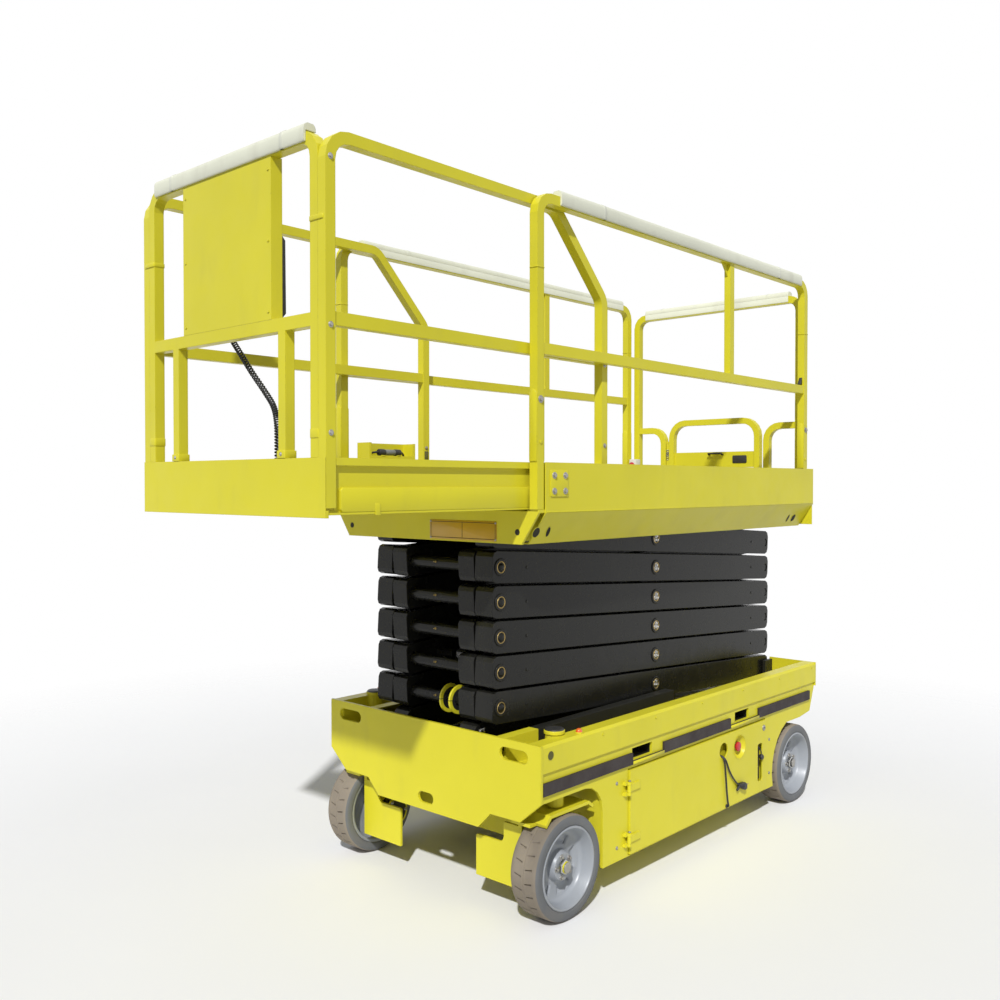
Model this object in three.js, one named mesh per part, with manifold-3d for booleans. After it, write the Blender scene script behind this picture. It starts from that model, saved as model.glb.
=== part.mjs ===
// Self-propelled scissor lift with six scissor levels and a roll-out deck extension.
// Millimetres, +X towards the steering end, +Y to the left, +Z up, ground at Z = 0.
import * as THREE from 'three';
import { mergeVertices } from 'three/addons/utils/BufferGeometryUtils.js';
import Module from 'manifold-3d';

const wasm = await Module();
wasm.setup();

// ---------------------------------------------------------------- driving sizes

const SEAT_GAP = 0.3; // between pieces that touch
const PIN_GAP = 0.6; // radial play of a pin in its hole
const MOVE_GAP = 6; // between pieces that pass each other

const chassis = {
  front: 1106,
  rear: -1106,
  halfWidth: 582,
  top: 664,
  frontPlate: 12,
  rearPlate: 4.5,
  beamWidth: 65,
  beamBottom: 565,
  bevel: 10,
  panelInset: 8,
  panelThickness: 12,
  panelBottom: 127,
  floorTop: 551.5,
  floorThickness: 6,
};

const strip = {
  bottom: 485,
  top: 530,
  proud: 2,
  ledge: 12,
  spans: [[544, 1093], [-226, 320], [-1033, -492]],
};
const pocket = { bottom: 502, spans: [[396, 537], [-408, -278]], wall: 8 };
const arch = { frontEdge: 730, frontTop: 456, rearEdge: -641, rearClear: 44.5, rearHigh: 410 };

const wheel = { radius: 190.5, width: 127, proud: 0.5, rimRadius: 152, hubRadius: 52, bore: 22 };
const axles = { front: 941.6, rear: -876.4, stubRadius: 21.5 };
const kingpin = { x: 930, inset: 82, radius: 20, housingRadius: 34, overTyre: 21, blind: 600 };
const bay = { inner: 282, wall: 8, endWall: 10, low: 135, blockTop: 430, blockRear: -520, blockFront: 540 };
const axleBeam = { rear: 855, front: 1005, half: 455, bottom: 440 };
const axleTube = { radius: 42, half: 440, hangerOuter: 420, hangerThickness: 24 };
const ladder = { plateLow: 545, apronHalf: 220, apronLow: 480, stileLow: 215, stileTop: 540 };
const stile = { inner: 185, outer: 200, depth: 30 };
const treads = { heights: [230, 390], thickness: 24, depth: 45, half: 190 };
const steer = {
  rodX: 800,
  rodRise: 26,
  rodRadius: 12,
  rodHalf: 400,
  barrelRadius: 28,
  barrelHalf: 165,
  studY: 420,
  studRadius: 9,
};
const yoke = { thickness: 12, inner: 424, outer: 512, wing: 560, drop: 41, front: 1082, rear: 768 };
const motor = { radius: 62, inner: 352 };
const guard = {
  x: 1034,
  thickness: 10,
  inner: 212,
  neck: 352,
  outer: 440,
  bottom: 103,
  shoulder: 258,
  top: 335,
};

const door = { front: 565, rear: -569, bottom: 130, top: 470, gap: 5, depth: 34, skin: 6 };
const doorHinge = { x: 578, proud: 8, radius: 8, half: 14, lug: 12, heights: [199, 399] };
const stopButton = { x: -310, z: 385, recess: 55, radius: 22 };
const leadHole = { x: -165, z: 395, radius: 36 };
const doorSlot = { x: -505, z: 274, width: 46, height: 176 };

const arm = {
  length: 2088,
  height: 120,
  frontPin: 1026,
  frontNose: 44,
  rearNose: 30,
  corner: 22,
  round: 58,
  outerFace: 320,
  outerWidth: 88,
  innerFace: 225,
  innerWidth: 80,
};
const stack = { levels: 6, lowPin: 618, pitch: 131 };
const pins = { end: 20, tube: 25, centre: 24, slider: 18, roller: 26, rollerWidth: 26 };
const track = { web: 8, inner: 334, outer: 380, flange: 8, play: 1, front: 1064, rear: -75 };

const cylinder = {
  barrelFoot: -900,
  rodHead: 900,
  barrelRadius: 42,
  rodRadius: 24,
  bore: 24.5,
  barrelLength: 1180,
  rodStart: 330,
  eyeHalf: 30,
  eyeRadius: 38,
  headRadius: 26,
  lugInner: 62,
};

// Heights of the platform and of its extension are above the underside of the deck floor.
const deck = {
  overPin: 76,
  front: 1090,
  rear: -1106,
  skinOuter: 562,
  skin: 4.7,
  floor: 6,
  toeTop: 179,
  fold: -1,
  low: -114,
  lowY: 482,
  skinFront: 1056,
  pad: 6,
};
const rail = { tube: 36, bend: 60, top: 1129, midTop: 600, midHeight: 40 };
const mainRail = { frontFace: 1096, rearFace: -1043, midPost: -276 };
const rearRail = {
  rearFace: -1101,
  outer: 516,
  top: 1076,
  toeTop: 120,
  hoopTop: 425,
  hoopLeg: 300,
  hoopBend: 75,
};
const gate = {
  half: 288,
  top: 460,
  bend: 85,
  sill: 175,
  plateLow: 192,
  plateTop: 277,
  hinges: [225, 310],
  hingeIn: 24,
};
const foam = { over: 22, side: 9 };

const ext = {
  front: 1988,
  rear: 600,
  travel: 880,
  half: 515,
  panel: 12,
  panelLow: 4,
  floorBottom: 20,
  floor: 6,
  flangeLow: 156,
  webOuter: 502,
  web: 8,
  lip: 7,
  strip: 6,
  sideWidth: 40,
};
const extRail = { frontFace: 1985, topBend: 930, kneeZ: 810, top: 1124, rearPost: 642, bend: 70 };
const frontRail = { top: 1130, lowPost: 303, panelHalf: 251, panelDepth: 41, sheet: 3 };
const box = {
  side: -50,
  front: 1935,
  depth: 120,
  half: 130,
  low: 650,
  top: 960,
  hookInner: 90,
  hookOuter: 120,
  stick: 40,
};
const curly = { radius: 11, grommet: 13, grommetTop: 30, foot: [1893, 150] };
const tray = { rear: 790, front: 1050, inner: -395, height: 97, wall: 3 };
const lead = { radius: 4, plugThickness: 21 };

// worked out from the sizes above
const fold = Math.asin(stack.pitch / arm.length);
const spanX = arm.length * Math.cos(fold);
const rearPin = arm.frontPin - spanX;
const midPin = arm.frontPin - spanX / 2;
const highPin = stack.lowPin + stack.levels * stack.pitch;
const armBase = stack.lowPin + stack.pitch / 2;
const deckBase = highPin + deck.overPin;
const railOuter = deck.skinOuter - deck.skin - SEAT_GAP;
const railInner = railOuter - rail.tube;
const panelOuter = chassis.halfWidth - chassis.panelInset;
const wheelOuter = chassis.halfWidth + wheel.proud;
const wheelMiddle = wheelOuter - wheel.width / 2;
const kingpinY = chassis.halfWidth - kingpin.inset;
const kingpinLow = 2 * wheel.radius + kingpin.overTyre;
const hingeY = chassis.halfWidth + doorHinge.proud;
const rodZ = kingpinLow - 4 + steer.rodRise;
const archRadius = wheel.radius + arch.rearClear;
const doorInner = chassis.halfWidth - door.depth;
const trayLow = chassis.floorTop - chassis.floorThickness;
const floorY = chassis.halfWidth - chassis.beamWidth - 2;
const panelInner = panelOuter - chassis.panelThickness;
const deckTop = deck.floor;
const extLip = deckTop + ext.strip + SEAT_GAP;
const extTop = ext.floorBottom + ext.floor;
const originShift = -(extRail.frontFace + rearRail.rearFace) / 2;

// ---------------------------------------------------------------- solids

function toSolid(geometry) {
  const bare = geometry.index ? geometry.toNonIndexed() : geometry.clone();
  bare.deleteAttribute('normal');
  bare.deleteAttribute('uv');
  const merged = mergeVertices(bare, 1e-3);
  return new wasm.Manifold(new wasm.Mesh({
    numProp: 3,
    vertProperties: new Float32Array(merged.attributes.position.array),
    triVerts: new Uint32Array(merged.index.array),
  }));
}

function toGeometry(solid) {
  const mesh = solid.getMesh();
  const geometry = new THREE.BufferGeometry();
  geometry.setAttribute('position', new THREE.BufferAttribute(new Float32Array(mesh.vertProperties), 3));
  geometry.setIndex(new THREE.BufferAttribute(new Uint32Array(mesh.triVerts), 1));
  return geometry;
}

function join(solids) {
  return solids.reduce((all, one) => all.add(one));
}

function cut(solid, tools) {
  return tools.reduce((rest, tool) => rest.subtract(tool), solid);
}

const planes = {
  x: [new THREE.Vector3(0, 1, 0), new THREE.Vector3(0, 0, 1), new THREE.Vector3(1, 0, 0)],
  y: [new THREE.Vector3(0, 0, 1), new THREE.Vector3(1, 0, 0), new THREE.Vector3(0, 1, 0)],
  z: [new THREE.Vector3(1, 0, 0), new THREE.Vector3(0, 1, 0), new THREE.Vector3(0, 0, 1)],
};

// Extrudes an outline along an axis: (y, z) for x, (x, z) for y and (x, y) for z.
function prism(axis, outline, from, to) {
  const points = outline.map(([a, b]) => (axis === 'y' ? new THREE.Vector2(b, a) : new THREE.Vector2(a, b)));
  const options = { depth: to - from, bevelEnabled: false };
  const geometry = new THREE.ExtrudeGeometry(new THREE.Shape(points), options);
  const [u, v, w] = planes[axis];
  geometry.applyMatrix4(new THREE.Matrix4().makeBasis(u, v, w));
  geometry.translate(w.x * from, w.y * from, w.z * from);
  return toSolid(geometry);
}

function block(x0, x1, y0, y1, z0, z1) {
  const geometry = new THREE.BoxGeometry(x1 - x0, y1 - y0, z1 - z0);
  geometry.translate((x0 + x1) / 2, (y0 + y1) / 2, (z0 + z1) / 2);
  return toSolid(geometry);
}

function circle(a, b, radius, sides = 16) {
  const points = [];
  for (let i = 0; i < sides; i += 1) {
    const turn = (i + 0.5) * 2 * Math.PI / sides;
    points.push([a + radius * Math.cos(turn), b + radius * Math.sin(turn)]);
  }
  return points;
}

function rod(axis, a, b, radius, from, to, sides = 16) {
  return prism(axis, circle(a, b, radius, sides), from, to);
}

function mirrorY(solid) {
  return solid.mirror([0, 1, 0]);
}

function bothSides(solid) {
  return solid.add(mirrorY(solid));
}

// Rounds each corner of an outline; a radius of 0 keeps the corner.
function rounded(points, radii, steps = 4) {
  const result = [];
  points.forEach((point, i) => {
    const radius = Array.isArray(radii) ? radii[i] : radii;
    const here = new THREE.Vector2(...point);
    if (!radius) {
      result.push(point);
      return;
    }
    const last = points[(i + points.length - 1) % points.length];
    const next = points[(i + 1) % points.length];
    const before = new THREE.Vector2(...last).sub(here).normalize();
    const after = new THREE.Vector2(...next).sub(here).normalize();
    const half = Math.acos(THREE.MathUtils.clamp(before.dot(after), -1, 1)) / 2;
    const reach = radius / Math.tan(half);
    const middle = before.clone().add(after).normalize().multiplyScalar(radius / Math.sin(half)).add(here);
    const start = before.multiplyScalar(reach).add(here).sub(middle);
    const end = after.multiplyScalar(reach).add(here).sub(middle);
    const turn = Math.atan2(start.cross(end), start.dot(end));
    for (let s = 0; s <= steps; s += 1) {
      const spoke = start.clone().rotateAround(new THREE.Vector2(), turn * s / steps);
      result.push([middle.x + spoke.x, middle.y + spoke.y]);
    }
  });
  return result;
}

function roundedBox(a0, a1, b0, b1, radius, steps = 4) {
  return rounded([[a0, b0], [a1, b0], [a1, b1], [a0, b1]], radius, steps);
}

// The outline of a bent bar: its centre line, its width and the bend radius of the centre line.
function bar(path, width, bend, steps = 4) {
  const line = [];
  path.forEach((point, i) => {
    if (i === 0 || i === path.length - 1) {
      line.push(point);
      return;
    }
    line.push(...rounded([path[i - 1], point, path[i + 1]], [0, bend, 0], steps).slice(1, -1));
  });
  const left = [];
  const right = [];
  line.forEach((point, i) => {
    const previous = line[Math.max(i - 1, 0)];
    const next = line[Math.min(i + 1, line.length - 1)];
    const a = new THREE.Vector2(point[0] - previous[0], point[1] - previous[1]).normalize();
    const b = new THREE.Vector2(next[0] - point[0], next[1] - point[1]).normalize();
    const along = a.clone().add(b).normalize();
    const stretch = width / 2 / Math.max(along.dot(i === 0 ? b : a), 0.5);
    left.push([point[0] - along.y * stretch, point[1] + along.x * stretch]);
    right.push([point[0] + along.y * stretch, point[1] - along.x * stretch]);
  });
  return [...left, ...right.reverse()];
}

function lathe(profile, sides) {
  const points = profile.map(([radius, height]) => new THREE.Vector2(radius, height));
  points.push(points[0].clone());
  return toSolid(new THREE.LatheGeometry(points, sides));
}

function tube(points, radius, sides, steps) {
  const path = new THREE.CatmullRomCurve3(points.map((p) => new THREE.Vector3(...p)));
  const section = new THREE.Shape(circle(0, 0, radius, sides).map(([a, b]) => new THREE.Vector2(a, b)));
  return toSolid(new THREE.ExtrudeGeometry(section, { steps, bevelEnabled: false, extrudePath: path }));
}

// ---------------------------------------------------------------- finishes

const finishes = {
  yellow: new THREE.MeshStandardMaterial({ color: 0xd6d23c, roughness: 0.4, metalness: 0 }),
  arm: new THREE.MeshStandardMaterial({ color: 0x2b2c2a, roughness: 0.35, metalness: 0.1 }),
  rubber: new THREE.MeshStandardMaterial({ color: 0x2a2323, roughness: 0.8, metalness: 0 }),
  tyre: new THREE.MeshStandardMaterial({ color: 0x8a8276, roughness: 0.85, metalness: 0 }),
  rim: new THREE.MeshStandardMaterial({ color: 0x9aa0a6, roughness: 0.35, metalness: 0.2 }),
  black: new THREE.MeshStandardMaterial({ color: 0x17171a, roughness: 0.6, metalness: 0 }),
  steel: new THREE.MeshStandardMaterial({ color: 0x9a9a98, roughness: 0.3, metalness: 1 }),
  foam: new THREE.MeshStandardMaterial({ color: 0xe6e8d2, roughness: 0.7, metalness: 0 }),
  red: new THREE.MeshStandardMaterial({ color: 0xc02028, roughness: 0.4, metalness: 0 }),
};

const model = new THREE.Group();
const machine = new THREE.Group();
machine.position.x = originShift;
model.add(machine);
const platform = new THREE.Group();
platform.position.z = deckBase;
machine.add(platform);

function piece(name, solid, finish, parent = machine) {
  const mesh = new THREE.Mesh(toGeometry(solid), finishes[finish]);
  mesh.name = name;
  parent.add(mesh);
  return mesh;
}

function pair(name, solid, finish, parent = machine) {
  piece(`${name}_left`, solid, finish, parent);
  piece(`${name}_right`, mirrorY(solid), finish, parent);
}

// ---------------------------------------------------------------- chassis

function sidePanelOutline() {
  const high = chassis.beamBottom + 20;
  const back = chassis.rear + chassis.rearPlate + SEAT_GAP;
  const start = Math.asin((arch.rearHigh - wheel.radius) / archRadius);
  const end = -Math.asin((wheel.radius - chassis.panelBottom) / archRadius);
  const curve = [];
  for (let i = 0; i <= 6; i += 1) {
    const turn = start + (end - start) * i / 6;
    curve.push([axles.rear + archRadius * Math.cos(turn), wheel.radius + archRadius * Math.sin(turn)]);
  }
  return [
    [chassis.front - chassis.frontPlate - SEAT_GAP, high],
    [back, high],
    [back, 545],
    [-1050, 423],
    [-939, arch.rearHigh],
    ...curve,
    ...rounded([
      [arch.frontEdge, chassis.panelBottom],
      [arch.frontEdge, arch.frontTop],
      [chassis.front - chassis.frontPlate - SEAT_GAP, arch.frontTop],
    ], [0, 110, 0]),
  ];
}

function doorLugs() {
  const lugs = [];
  doorHinge.heights.forEach((z) => {
    [[z + doorHinge.half + PIN_GAP, 1], [z - doorHinge.half - PIN_GAP, -1]].forEach(([end, way]) => {
      const low = Math.min(end, end + way * doorHinge.lug);
      const high = Math.max(end, end + way * doorHinge.lug);
      lugs.push(rod('z', doorHinge.x, hingeY, doorHinge.radius, low, high, 12));
      const leafY = [panelOuter - 2, hingeY];
      lugs.push(block(doorHinge.x, doorHinge.x + 22, leafY[0], leafY[1] - 2, low, high));
    });
  });
  return lugs;
}

function chassisSide() {
  const ends = [chassis.rear + chassis.rearPlate + SEAT_GAP, chassis.front - chassis.frontPlate - SEAT_GAP];
  const inner = chassis.halfWidth - chassis.beamWidth;
  const beam = prism('x', [
    [inner, chassis.beamBottom],
    [chassis.halfWidth, chassis.beamBottom],
    [chassis.halfWidth, chassis.top - chassis.bevel],
    [chassis.halfWidth - chassis.bevel, chassis.top],
    [inner, chassis.top],
  ], ...ends);
  const panel = prism('y', sidePanelOutline(), panelInner, panelOuter);
  const openings = [
    block(door.rear, door.front, panelInner - 1, panelOuter + 1, door.bottom, door.top),
    rod('z', kingpin.x, kingpinY, kingpin.housingRadius + SEAT_GAP, chassis.beamBottom - 1, chassis.top + 1),
    ...pocket.spans.map(([x0, x1]) => (
      block(x0, x1, panelInner - 1, panelOuter + 1, pocket.bottom, trayLow)
    )),
  ];
  return join([cut(beam.add(panel), openings), ...doorLugs()]);
}

function frontPlate() {
  const half = [
    [chassis.halfWidth, chassis.top],
    [chassis.halfWidth, 460],
    [485, 378],
    [342, 376],
    [279, 314],
  ];
  const outline = [...half, ...half.map(([y, z]) => [-y, z]).reverse()];
  const slots = [[455, 612, 135, 47], [-455, 612, 135, 47], [0, 363, 85, 43]].map(([y, z, width, height]) => (
    prism('x', roundedBox(y - width / 2, y + width / 2, z - height / 2, z + height / 2, height / 2 - 0.5, 5),
      chassis.front - chassis.frontPlate - 1, chassis.front + 1)
  ));
  return cut(prism('x', outline, chassis.front - chassis.frontPlate, chassis.front), slots);
}

// The arms' rear ends swing back through two ways cut in the top of the plate.
function rearPlate() {
  const back = chassis.rear;
  const plateFront = back + chassis.rearPlate;
  const armWay = bothSides(block(back - 1, plateFront + 1, arm.outerFace - arm.outerWidth - MOVE_GAP,
    arm.outerFace + MOVE_GAP, stack.lowPin - pins.end - 4, chassis.top + 1));
  const plate = cut(
    block(back, plateFront, -chassis.halfWidth, chassis.halfWidth, ladder.plateLow, chassis.top),
    [armWay],
  );
  const half = ladder.apronHalf;
  const apron = block(back, plateFront, -half, half, ladder.apronLow, ladder.plateLow + 1);
  const stiles = bothSides(
    block(back, back + stile.depth, stile.inner, stile.outer, ladder.stileLow, ladder.stileTop),
  );
  const steps = treads.heights.map((z) => (
    block(back, back + treads.depth, -treads.half, treads.half, z, z + treads.thickness)
  ));
  return join([plate, apron, stiles, ...steps]);
}

function chassisTray() {
  const front = chassis.front - chassis.frontPlate - SEAT_GAP;
  const rear = chassis.rear + chassis.rearPlate + SEAT_GAP;
  const low = trayLow;
  const inside = panelInner - SEAT_GAP;
  const floor = block(rear, front, -floorY, floorY, low, chassis.floorTop);
  const forks = pocket.spans.flatMap(([x0, x1]) => [
    block(x0 - pocket.wall, x1 + pocket.wall, -inside, inside, pocket.bottom - pocket.wall, pocket.bottom),
    block(x0 - pocket.wall, x0, -inside, inside, pocket.bottom - 1, low + 1),
    block(x1, x1 + pocket.wall, -inside, inside, pocket.bottom - 1, low + 1),
  ]);
  const span = [arch.rearEdge, arch.frontEdge];
  const bays = [
    block(arch.frontEdge - bay.endWall, arch.frontEdge, -inside, inside, bay.low, low + 1),
    block(arch.rearEdge, arch.rearEdge + bay.endWall, -inside, inside, bay.low, low + 1),
    bothSides(block(...span, bay.inner, doorInner - MOVE_GAP, bay.low, bay.low + bay.wall)),
    bothSides(block(...span, bay.inner, bay.inner + bay.wall, bay.low + 1, low + 1)),
  ];
  const beam = block(axleBeam.rear, axleBeam.front, -axleBeam.half, axleBeam.half, axleBeam.bottom, low + 1);
  const web = [track.outer - track.web, track.outer];
  const lowFlange = stack.lowPin - pins.roller - track.play;
  const highFlange = stack.lowPin + pins.roller + track.play;
  const channel = [
    block(track.rear, track.front, web[0], web[1], low, highFlange + track.flange),
    block(track.rear, track.front, track.inner, web[1], lowFlange - track.flange, lowFlange),
    block(track.rear, track.front, track.inner, web[1], highFlange, highFlange + track.flange),
  ];
  const bracketY = [arm.outerFace + MOVE_GAP, arm.outerFace + MOVE_GAP + 16];
  const bracket = cut(
    block(rear, rearPin + 34, bracketY[0], bracketY[1], low, stack.lowPin + 36),
    [rod('y', rearPin, stack.lowPin, pins.end + PIN_GAP, bracketY[0] - 1, bracketY[1] + 1)],
  );
  const housing = cut(
    rod('z', kingpin.x, kingpinY, kingpin.housingRadius, kingpinLow, chassis.top + 4),
    [rod('z', kingpin.x, kingpinY, kingpin.radius + PIN_GAP, kingpinLow - 1, kingpin.blind)],
  );
  const bore = rod('z', kingpin.x, kingpinY, kingpin.radius + PIN_GAP, axleBeam.bottom - 10, kingpin.blind);
  const forkWays = pocket.spans.map(([x0, x1]) => block(x0, x1, -inside - 1, inside + 1, pocket.bottom, low));
  const body = cut(join([floor, ...forks, ...bays, beam]), [bore, mirrorY(bore), ...forkWays]);
  return join([body, ...channel.map(bothSides), bothSides(bracket), bothSides(housing)]);
}

function rearAxle() {
  const low = trayLow - SEAT_GAP;
  const tubeBody = rod('y', axles.rear, wheel.radius, axleTube.radius, -axleTube.half, axleTube.half);
  const stubs = rod('y', axles.rear, wheel.radius, axles.stubRadius, -wheelOuter + 14, wheelOuter - 14);
  const hangers = bothSides(prism('y', [
    [axles.rear - 95, low],
    [axles.rear + 95, low],
    [axles.rear + 45, wheel.radius - 20],
    [axles.rear - 45, wheel.radius - 20],
  ], axleTube.hangerOuter - axleTube.hangerThickness, axleTube.hangerOuter));
  return join([tubeBody, stubs, hangers]);
}

function bumperRail() {
  const back = panelOuter + SEAT_GAP;
  const face = chassis.halfWidth + strip.proud;
  const strips = strip.spans.map(([x0, x1]) => block(x0, x1, back, face, strip.bottom, strip.top));
  const ends = [strip.spans[2][0], strip.spans[0][1]];
  return join([block(...ends, back, back + 3, strip.bottom, strip.bottom + strip.ledge), ...strips]);
}

function steerBarrel() {
  const low = trayLow - SEAT_GAP;
  const barrel = rod('y', steer.rodX, rodZ, steer.barrelRadius, -steer.barrelHalf, steer.barrelHalf);
  const hanger = block(steer.rodX - 25, steer.rodX + 25, -60, 60, rodZ + 12, low);
  const reach = steer.barrelHalf + 1;
  const bore = rod('y', steer.rodX, rodZ, steer.rodRadius + PIN_GAP, -reach, reach);
  return cut(barrel.add(hanger), [bore]);
}

function buildChassis() {
  pair('chassis_side', chassisSide(), 'yellow');
  piece('front_plate', frontPlate(), 'yellow');
  piece('rear_plate', rearPlate(), 'yellow');
  piece('chassis_tray', chassisTray(), 'yellow');
  piece('rear_axle', rearAxle(), 'black');
  pair('bumper_rail', bumperRail(), 'rubber');
  const blockLow = bay.low + bay.wall + SEAT_GAP;
  const packs = block(bay.blockRear, bay.blockFront, bay.inner + 14, doorInner - 18, blockLow, bay.blockTop);
  piece('hydraulic_block', packs, 'black');
  piece('battery_block', mirrorY(packs), 'black');
  piece('steer_cylinder', steerBarrel(), 'black');
  piece('steer_rod', rod('y', steer.rodX, rodZ, steer.rodRadius, -steer.rodHalf, steer.rodHalf, 12), 'steel');
}

// ---------------------------------------------------------------- side doors

function doorPanel(holes) {
  const [x0, x1] = [door.rear + door.gap, door.front - door.gap];
  const [z0, z1] = [door.bottom + door.gap, door.top - door.gap];
  const { skin } = door;
  const shell = cut(block(x0, x1, doorInner, chassis.halfWidth, z0, z1), [
    block(x0 + skin, x1 - skin, doorInner + skin, chassis.halfWidth - skin, z0 + skin, z1 - skin),
    ...holes,
  ]);
  const leaves = doorHinge.heights.flatMap((z) => [
    rod('z', doorHinge.x, hingeY, doorHinge.radius, z - doorHinge.half, z + doorHinge.half, 12),
    block(x1 - 60, doorHinge.x, chassis.halfWidth - 2, hingeY - 1, z - doorHinge.half, z + doorHinge.half),
  ]);
  return join([shell, ...leaves]);
}

function leadOutline() {
  const { x, z, radius } = leadHole;
  return rounded([
    [x - radius, z + radius],
    [x - radius, z - 10],
    [x - 8, z - radius - 6],
    [x + 8, z - radius - 6],
    [x + radius, z - 10],
    [x + radius, z + radius],
  ], [radius - 1, 10, 6, 6, 10, radius - 1]);
}

function buildDoors() {
  const through = [chassis.halfWidth - door.skin - 2, chassis.halfWidth + 2];
  const { x, z, width, height } = doorSlot;
  const holes = [
    prism('y', circle(stopButton.x, stopButton.z, stopButton.recess, 24), ...through),
    prism('y', leadOutline(), ...through),
    prism('y', roundedBox(x - width / 2, x + width / 2, z - height / 2, z + height / 2, 12), ...through),
  ];
  piece('door_left', doorPanel(holes), 'yellow');
  piece('door_right', mirrorY(doorPanel(holes)), 'yellow');
  const seat = doorInner + door.skin + SEAT_GAP;
  const stem = rod('y', stopButton.x, stopButton.z, 12, seat, chassis.halfWidth - 14, 16);
  const face = chassis.halfWidth - 1;
  const cap = rod('y', stopButton.x, stopButton.z, stopButton.radius, face - 14, face);
  piece('ground_stop', stem.add(cap), 'red');
}

const leadRoute = [
  [-166, 554.4, 370], [-166, 562, 370], [-166, 576, 368], [-168, 590, 355], [-176, 594, 334],
  [-196, 593, 303], [-222, 592, 272], [-250, 592, 244], [-272, 592, 226], [-285.5, 592, 218.5],
];

// The second strand hangs from the same hole and goes back in just above the door's bottom edge.
const returnRoute = [
  [-150, 554.4, 374], [-150, 562, 374], [-150, 578, 373], [-152, 589, 364], [-156, 592, 345],
  [-164, 591, 315], [-172, 590, 270], [-180, 590, 210], [-187, 591, 165], [-190, 593, 148],
  [-190, 589, 143], [-190, 582.4, 143],
];

function buildLead() {
  piece('mains_lead', tube(leadRoute, lead.radius, 8, 24), 'black');
  piece('lead_return', tube(returnRoute, lead.radius, 8, 28), 'black');
  const seat = chassis.halfWidth + SEAT_GAP;
  const outline = rounded([
    [-287, 210], [-287, 224], [-332, 221], [-345, 211], [-345, 190], [-325, 188],
  ], [5, 5, 8, 6, 6, 10], 2);
  const head = prism('y', outline, seat, seat + lead.plugThickness);
  const blades = [[seat + 5, 198], [seat + 16, 208]].map(([y, z]) => rod('x', y, z, 2.4, -362, -340, 8));
  piece('mains_plug', join([head, ...blades]), 'black');
}

// ---------------------------------------------------------------- wheels and steering

function tyreSolid() {
  const half = wheel.width / 2;
  return lathe([
    [wheel.rimRadius, -half + 4], [wheel.radius - 12, -half], [wheel.radius - 3, -half + 4],
    [wheel.radius, -half + 14], [wheel.radius, half - 14], [wheel.radius - 3, half - 4],
    [wheel.radius - 12, half], [wheel.rimRadius, half - 4],
  ], 24);
}

function rimSolid() {
  const half = wheel.width / 2;
  const outside = wheel.rimRadius - SEAT_GAP;
  return lathe([
    [wheel.bore, -half + 20], [wheel.hubRadius, -half + 20], [wheel.hubRadius, -10], [outside - 12, -10],
    [outside - 12, -half + 6], [outside, -half + 4], [outside, half - 4], [outside - 10, half - 6],
    [outside - 22, 8], [wheel.hubRadius, 4], [wheel.hubRadius - 6, 34], [wheel.bore, 34],
  ], 24);
}

function buildWheels() {
  const tyre = tyreSolid();
  const rim = rimSolid();
  [['front', axles.front], ['rear', axles.rear]].forEach(([end, x]) => {
    [['left', 1], ['right', -1]].forEach(([side, way]) => {
      [['tyre', tyre], ['rim', rim]].forEach(([kind, solid]) => {
        const mesh = piece(`${end}_${side}_${kind}`, way > 0 ? solid : mirrorY(solid), kind);
        mesh.position.set(x, way * wheelMiddle, wheel.radius);
      });
    });
  });
}

function knuckle() {
  const top = kingpinLow - 4;
  const low = top - yoke.thickness;
  const yokePlate = prism('y', [
    [yoke.front, top - yoke.drop], [yoke.front - 36, top - yoke.drop], [yoke.front - 64, low],
    [yoke.rear + 32, low], [yoke.rear + 6, low - 20], [yoke.rear, low - 10], [yoke.rear + 28, top],
    [yoke.front - 58, top],
    [yoke.front - 30, low - 17], [yoke.front, low - 17],
  ], yoke.inner, yoke.outer);
  const wing = prism('y', [
    [yoke.front - 36, top - yoke.drop], [yoke.front - 64, low], [yoke.rear + 32, low],
    [yoke.rear + 6, low - 20], [yoke.rear, low - 10], [yoke.rear + 28, top], [yoke.front - 58, top],
    [yoke.front - 30, low - 17],
  ], yoke.outer - 1, yoke.wing);
  const upright = block(850, guard.x + guard.thickness, yoke.inner, guard.outer, guard.bottom, low);
  const shield = prism('x', rounded([
    [guard.inner, guard.bottom], [guard.outer, guard.bottom], [guard.outer, guard.top],
    [guard.neck, guard.top], [guard.neck, guard.shoulder], [guard.inner, guard.shoulder],
  ], [0, 0, 0, 0, 22, 8], 3), guard.x, guard.x + guard.thickness);
  const shaft = rod('z', kingpin.x, kingpinY, kingpin.radius, top - 2, kingpin.blind - 4);
  const stub = rod('y', axles.front, wheel.radius, axles.stubRadius, guard.outer - 1, wheelOuter - 14);
  const drive = rod('y', axles.front, wheel.radius, motor.radius, motor.inner, guard.outer - 14);
  const steerArm = block(steer.rodX - 12, 860, steer.studY - 20, guard.outer, low - 14, low - 2);
  const armWeb = block(835, 860, yoke.inner, guard.outer, low - 86, low - 2);
  const stud = rod('z', steer.rodX, steer.studY, steer.studRadius, low - 3, rodZ + steer.rodRadius, 12);
  return join([yokePlate, wing, upright, shield, shaft, stub, drive, steerArm, armWeb, stud]);
}

// ---------------------------------------------------------------- scissor stack

function armSolid(inner, outer, frontRadius, rearRadius, holes) {
  const half = arm.length / 2;
  const outline = rounded([
    [-half - arm.rearNose, -arm.height / 2], [half + arm.frontNose, -arm.height / 2],
    [half + arm.frontNose, arm.height / 2], [-half - arm.rearNose, arm.height / 2],
  ], [rearRadius, frontRadius, frontRadius, rearRadius], frontRadius > arm.corner ? 5 : 2);
  const tools = holes.map(([x, radius]) => rod('y', x, 0, radius, inner - 1, outer + 1, 16));
  return cut(prism('y', outline, inner, outer), tools);
}

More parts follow.
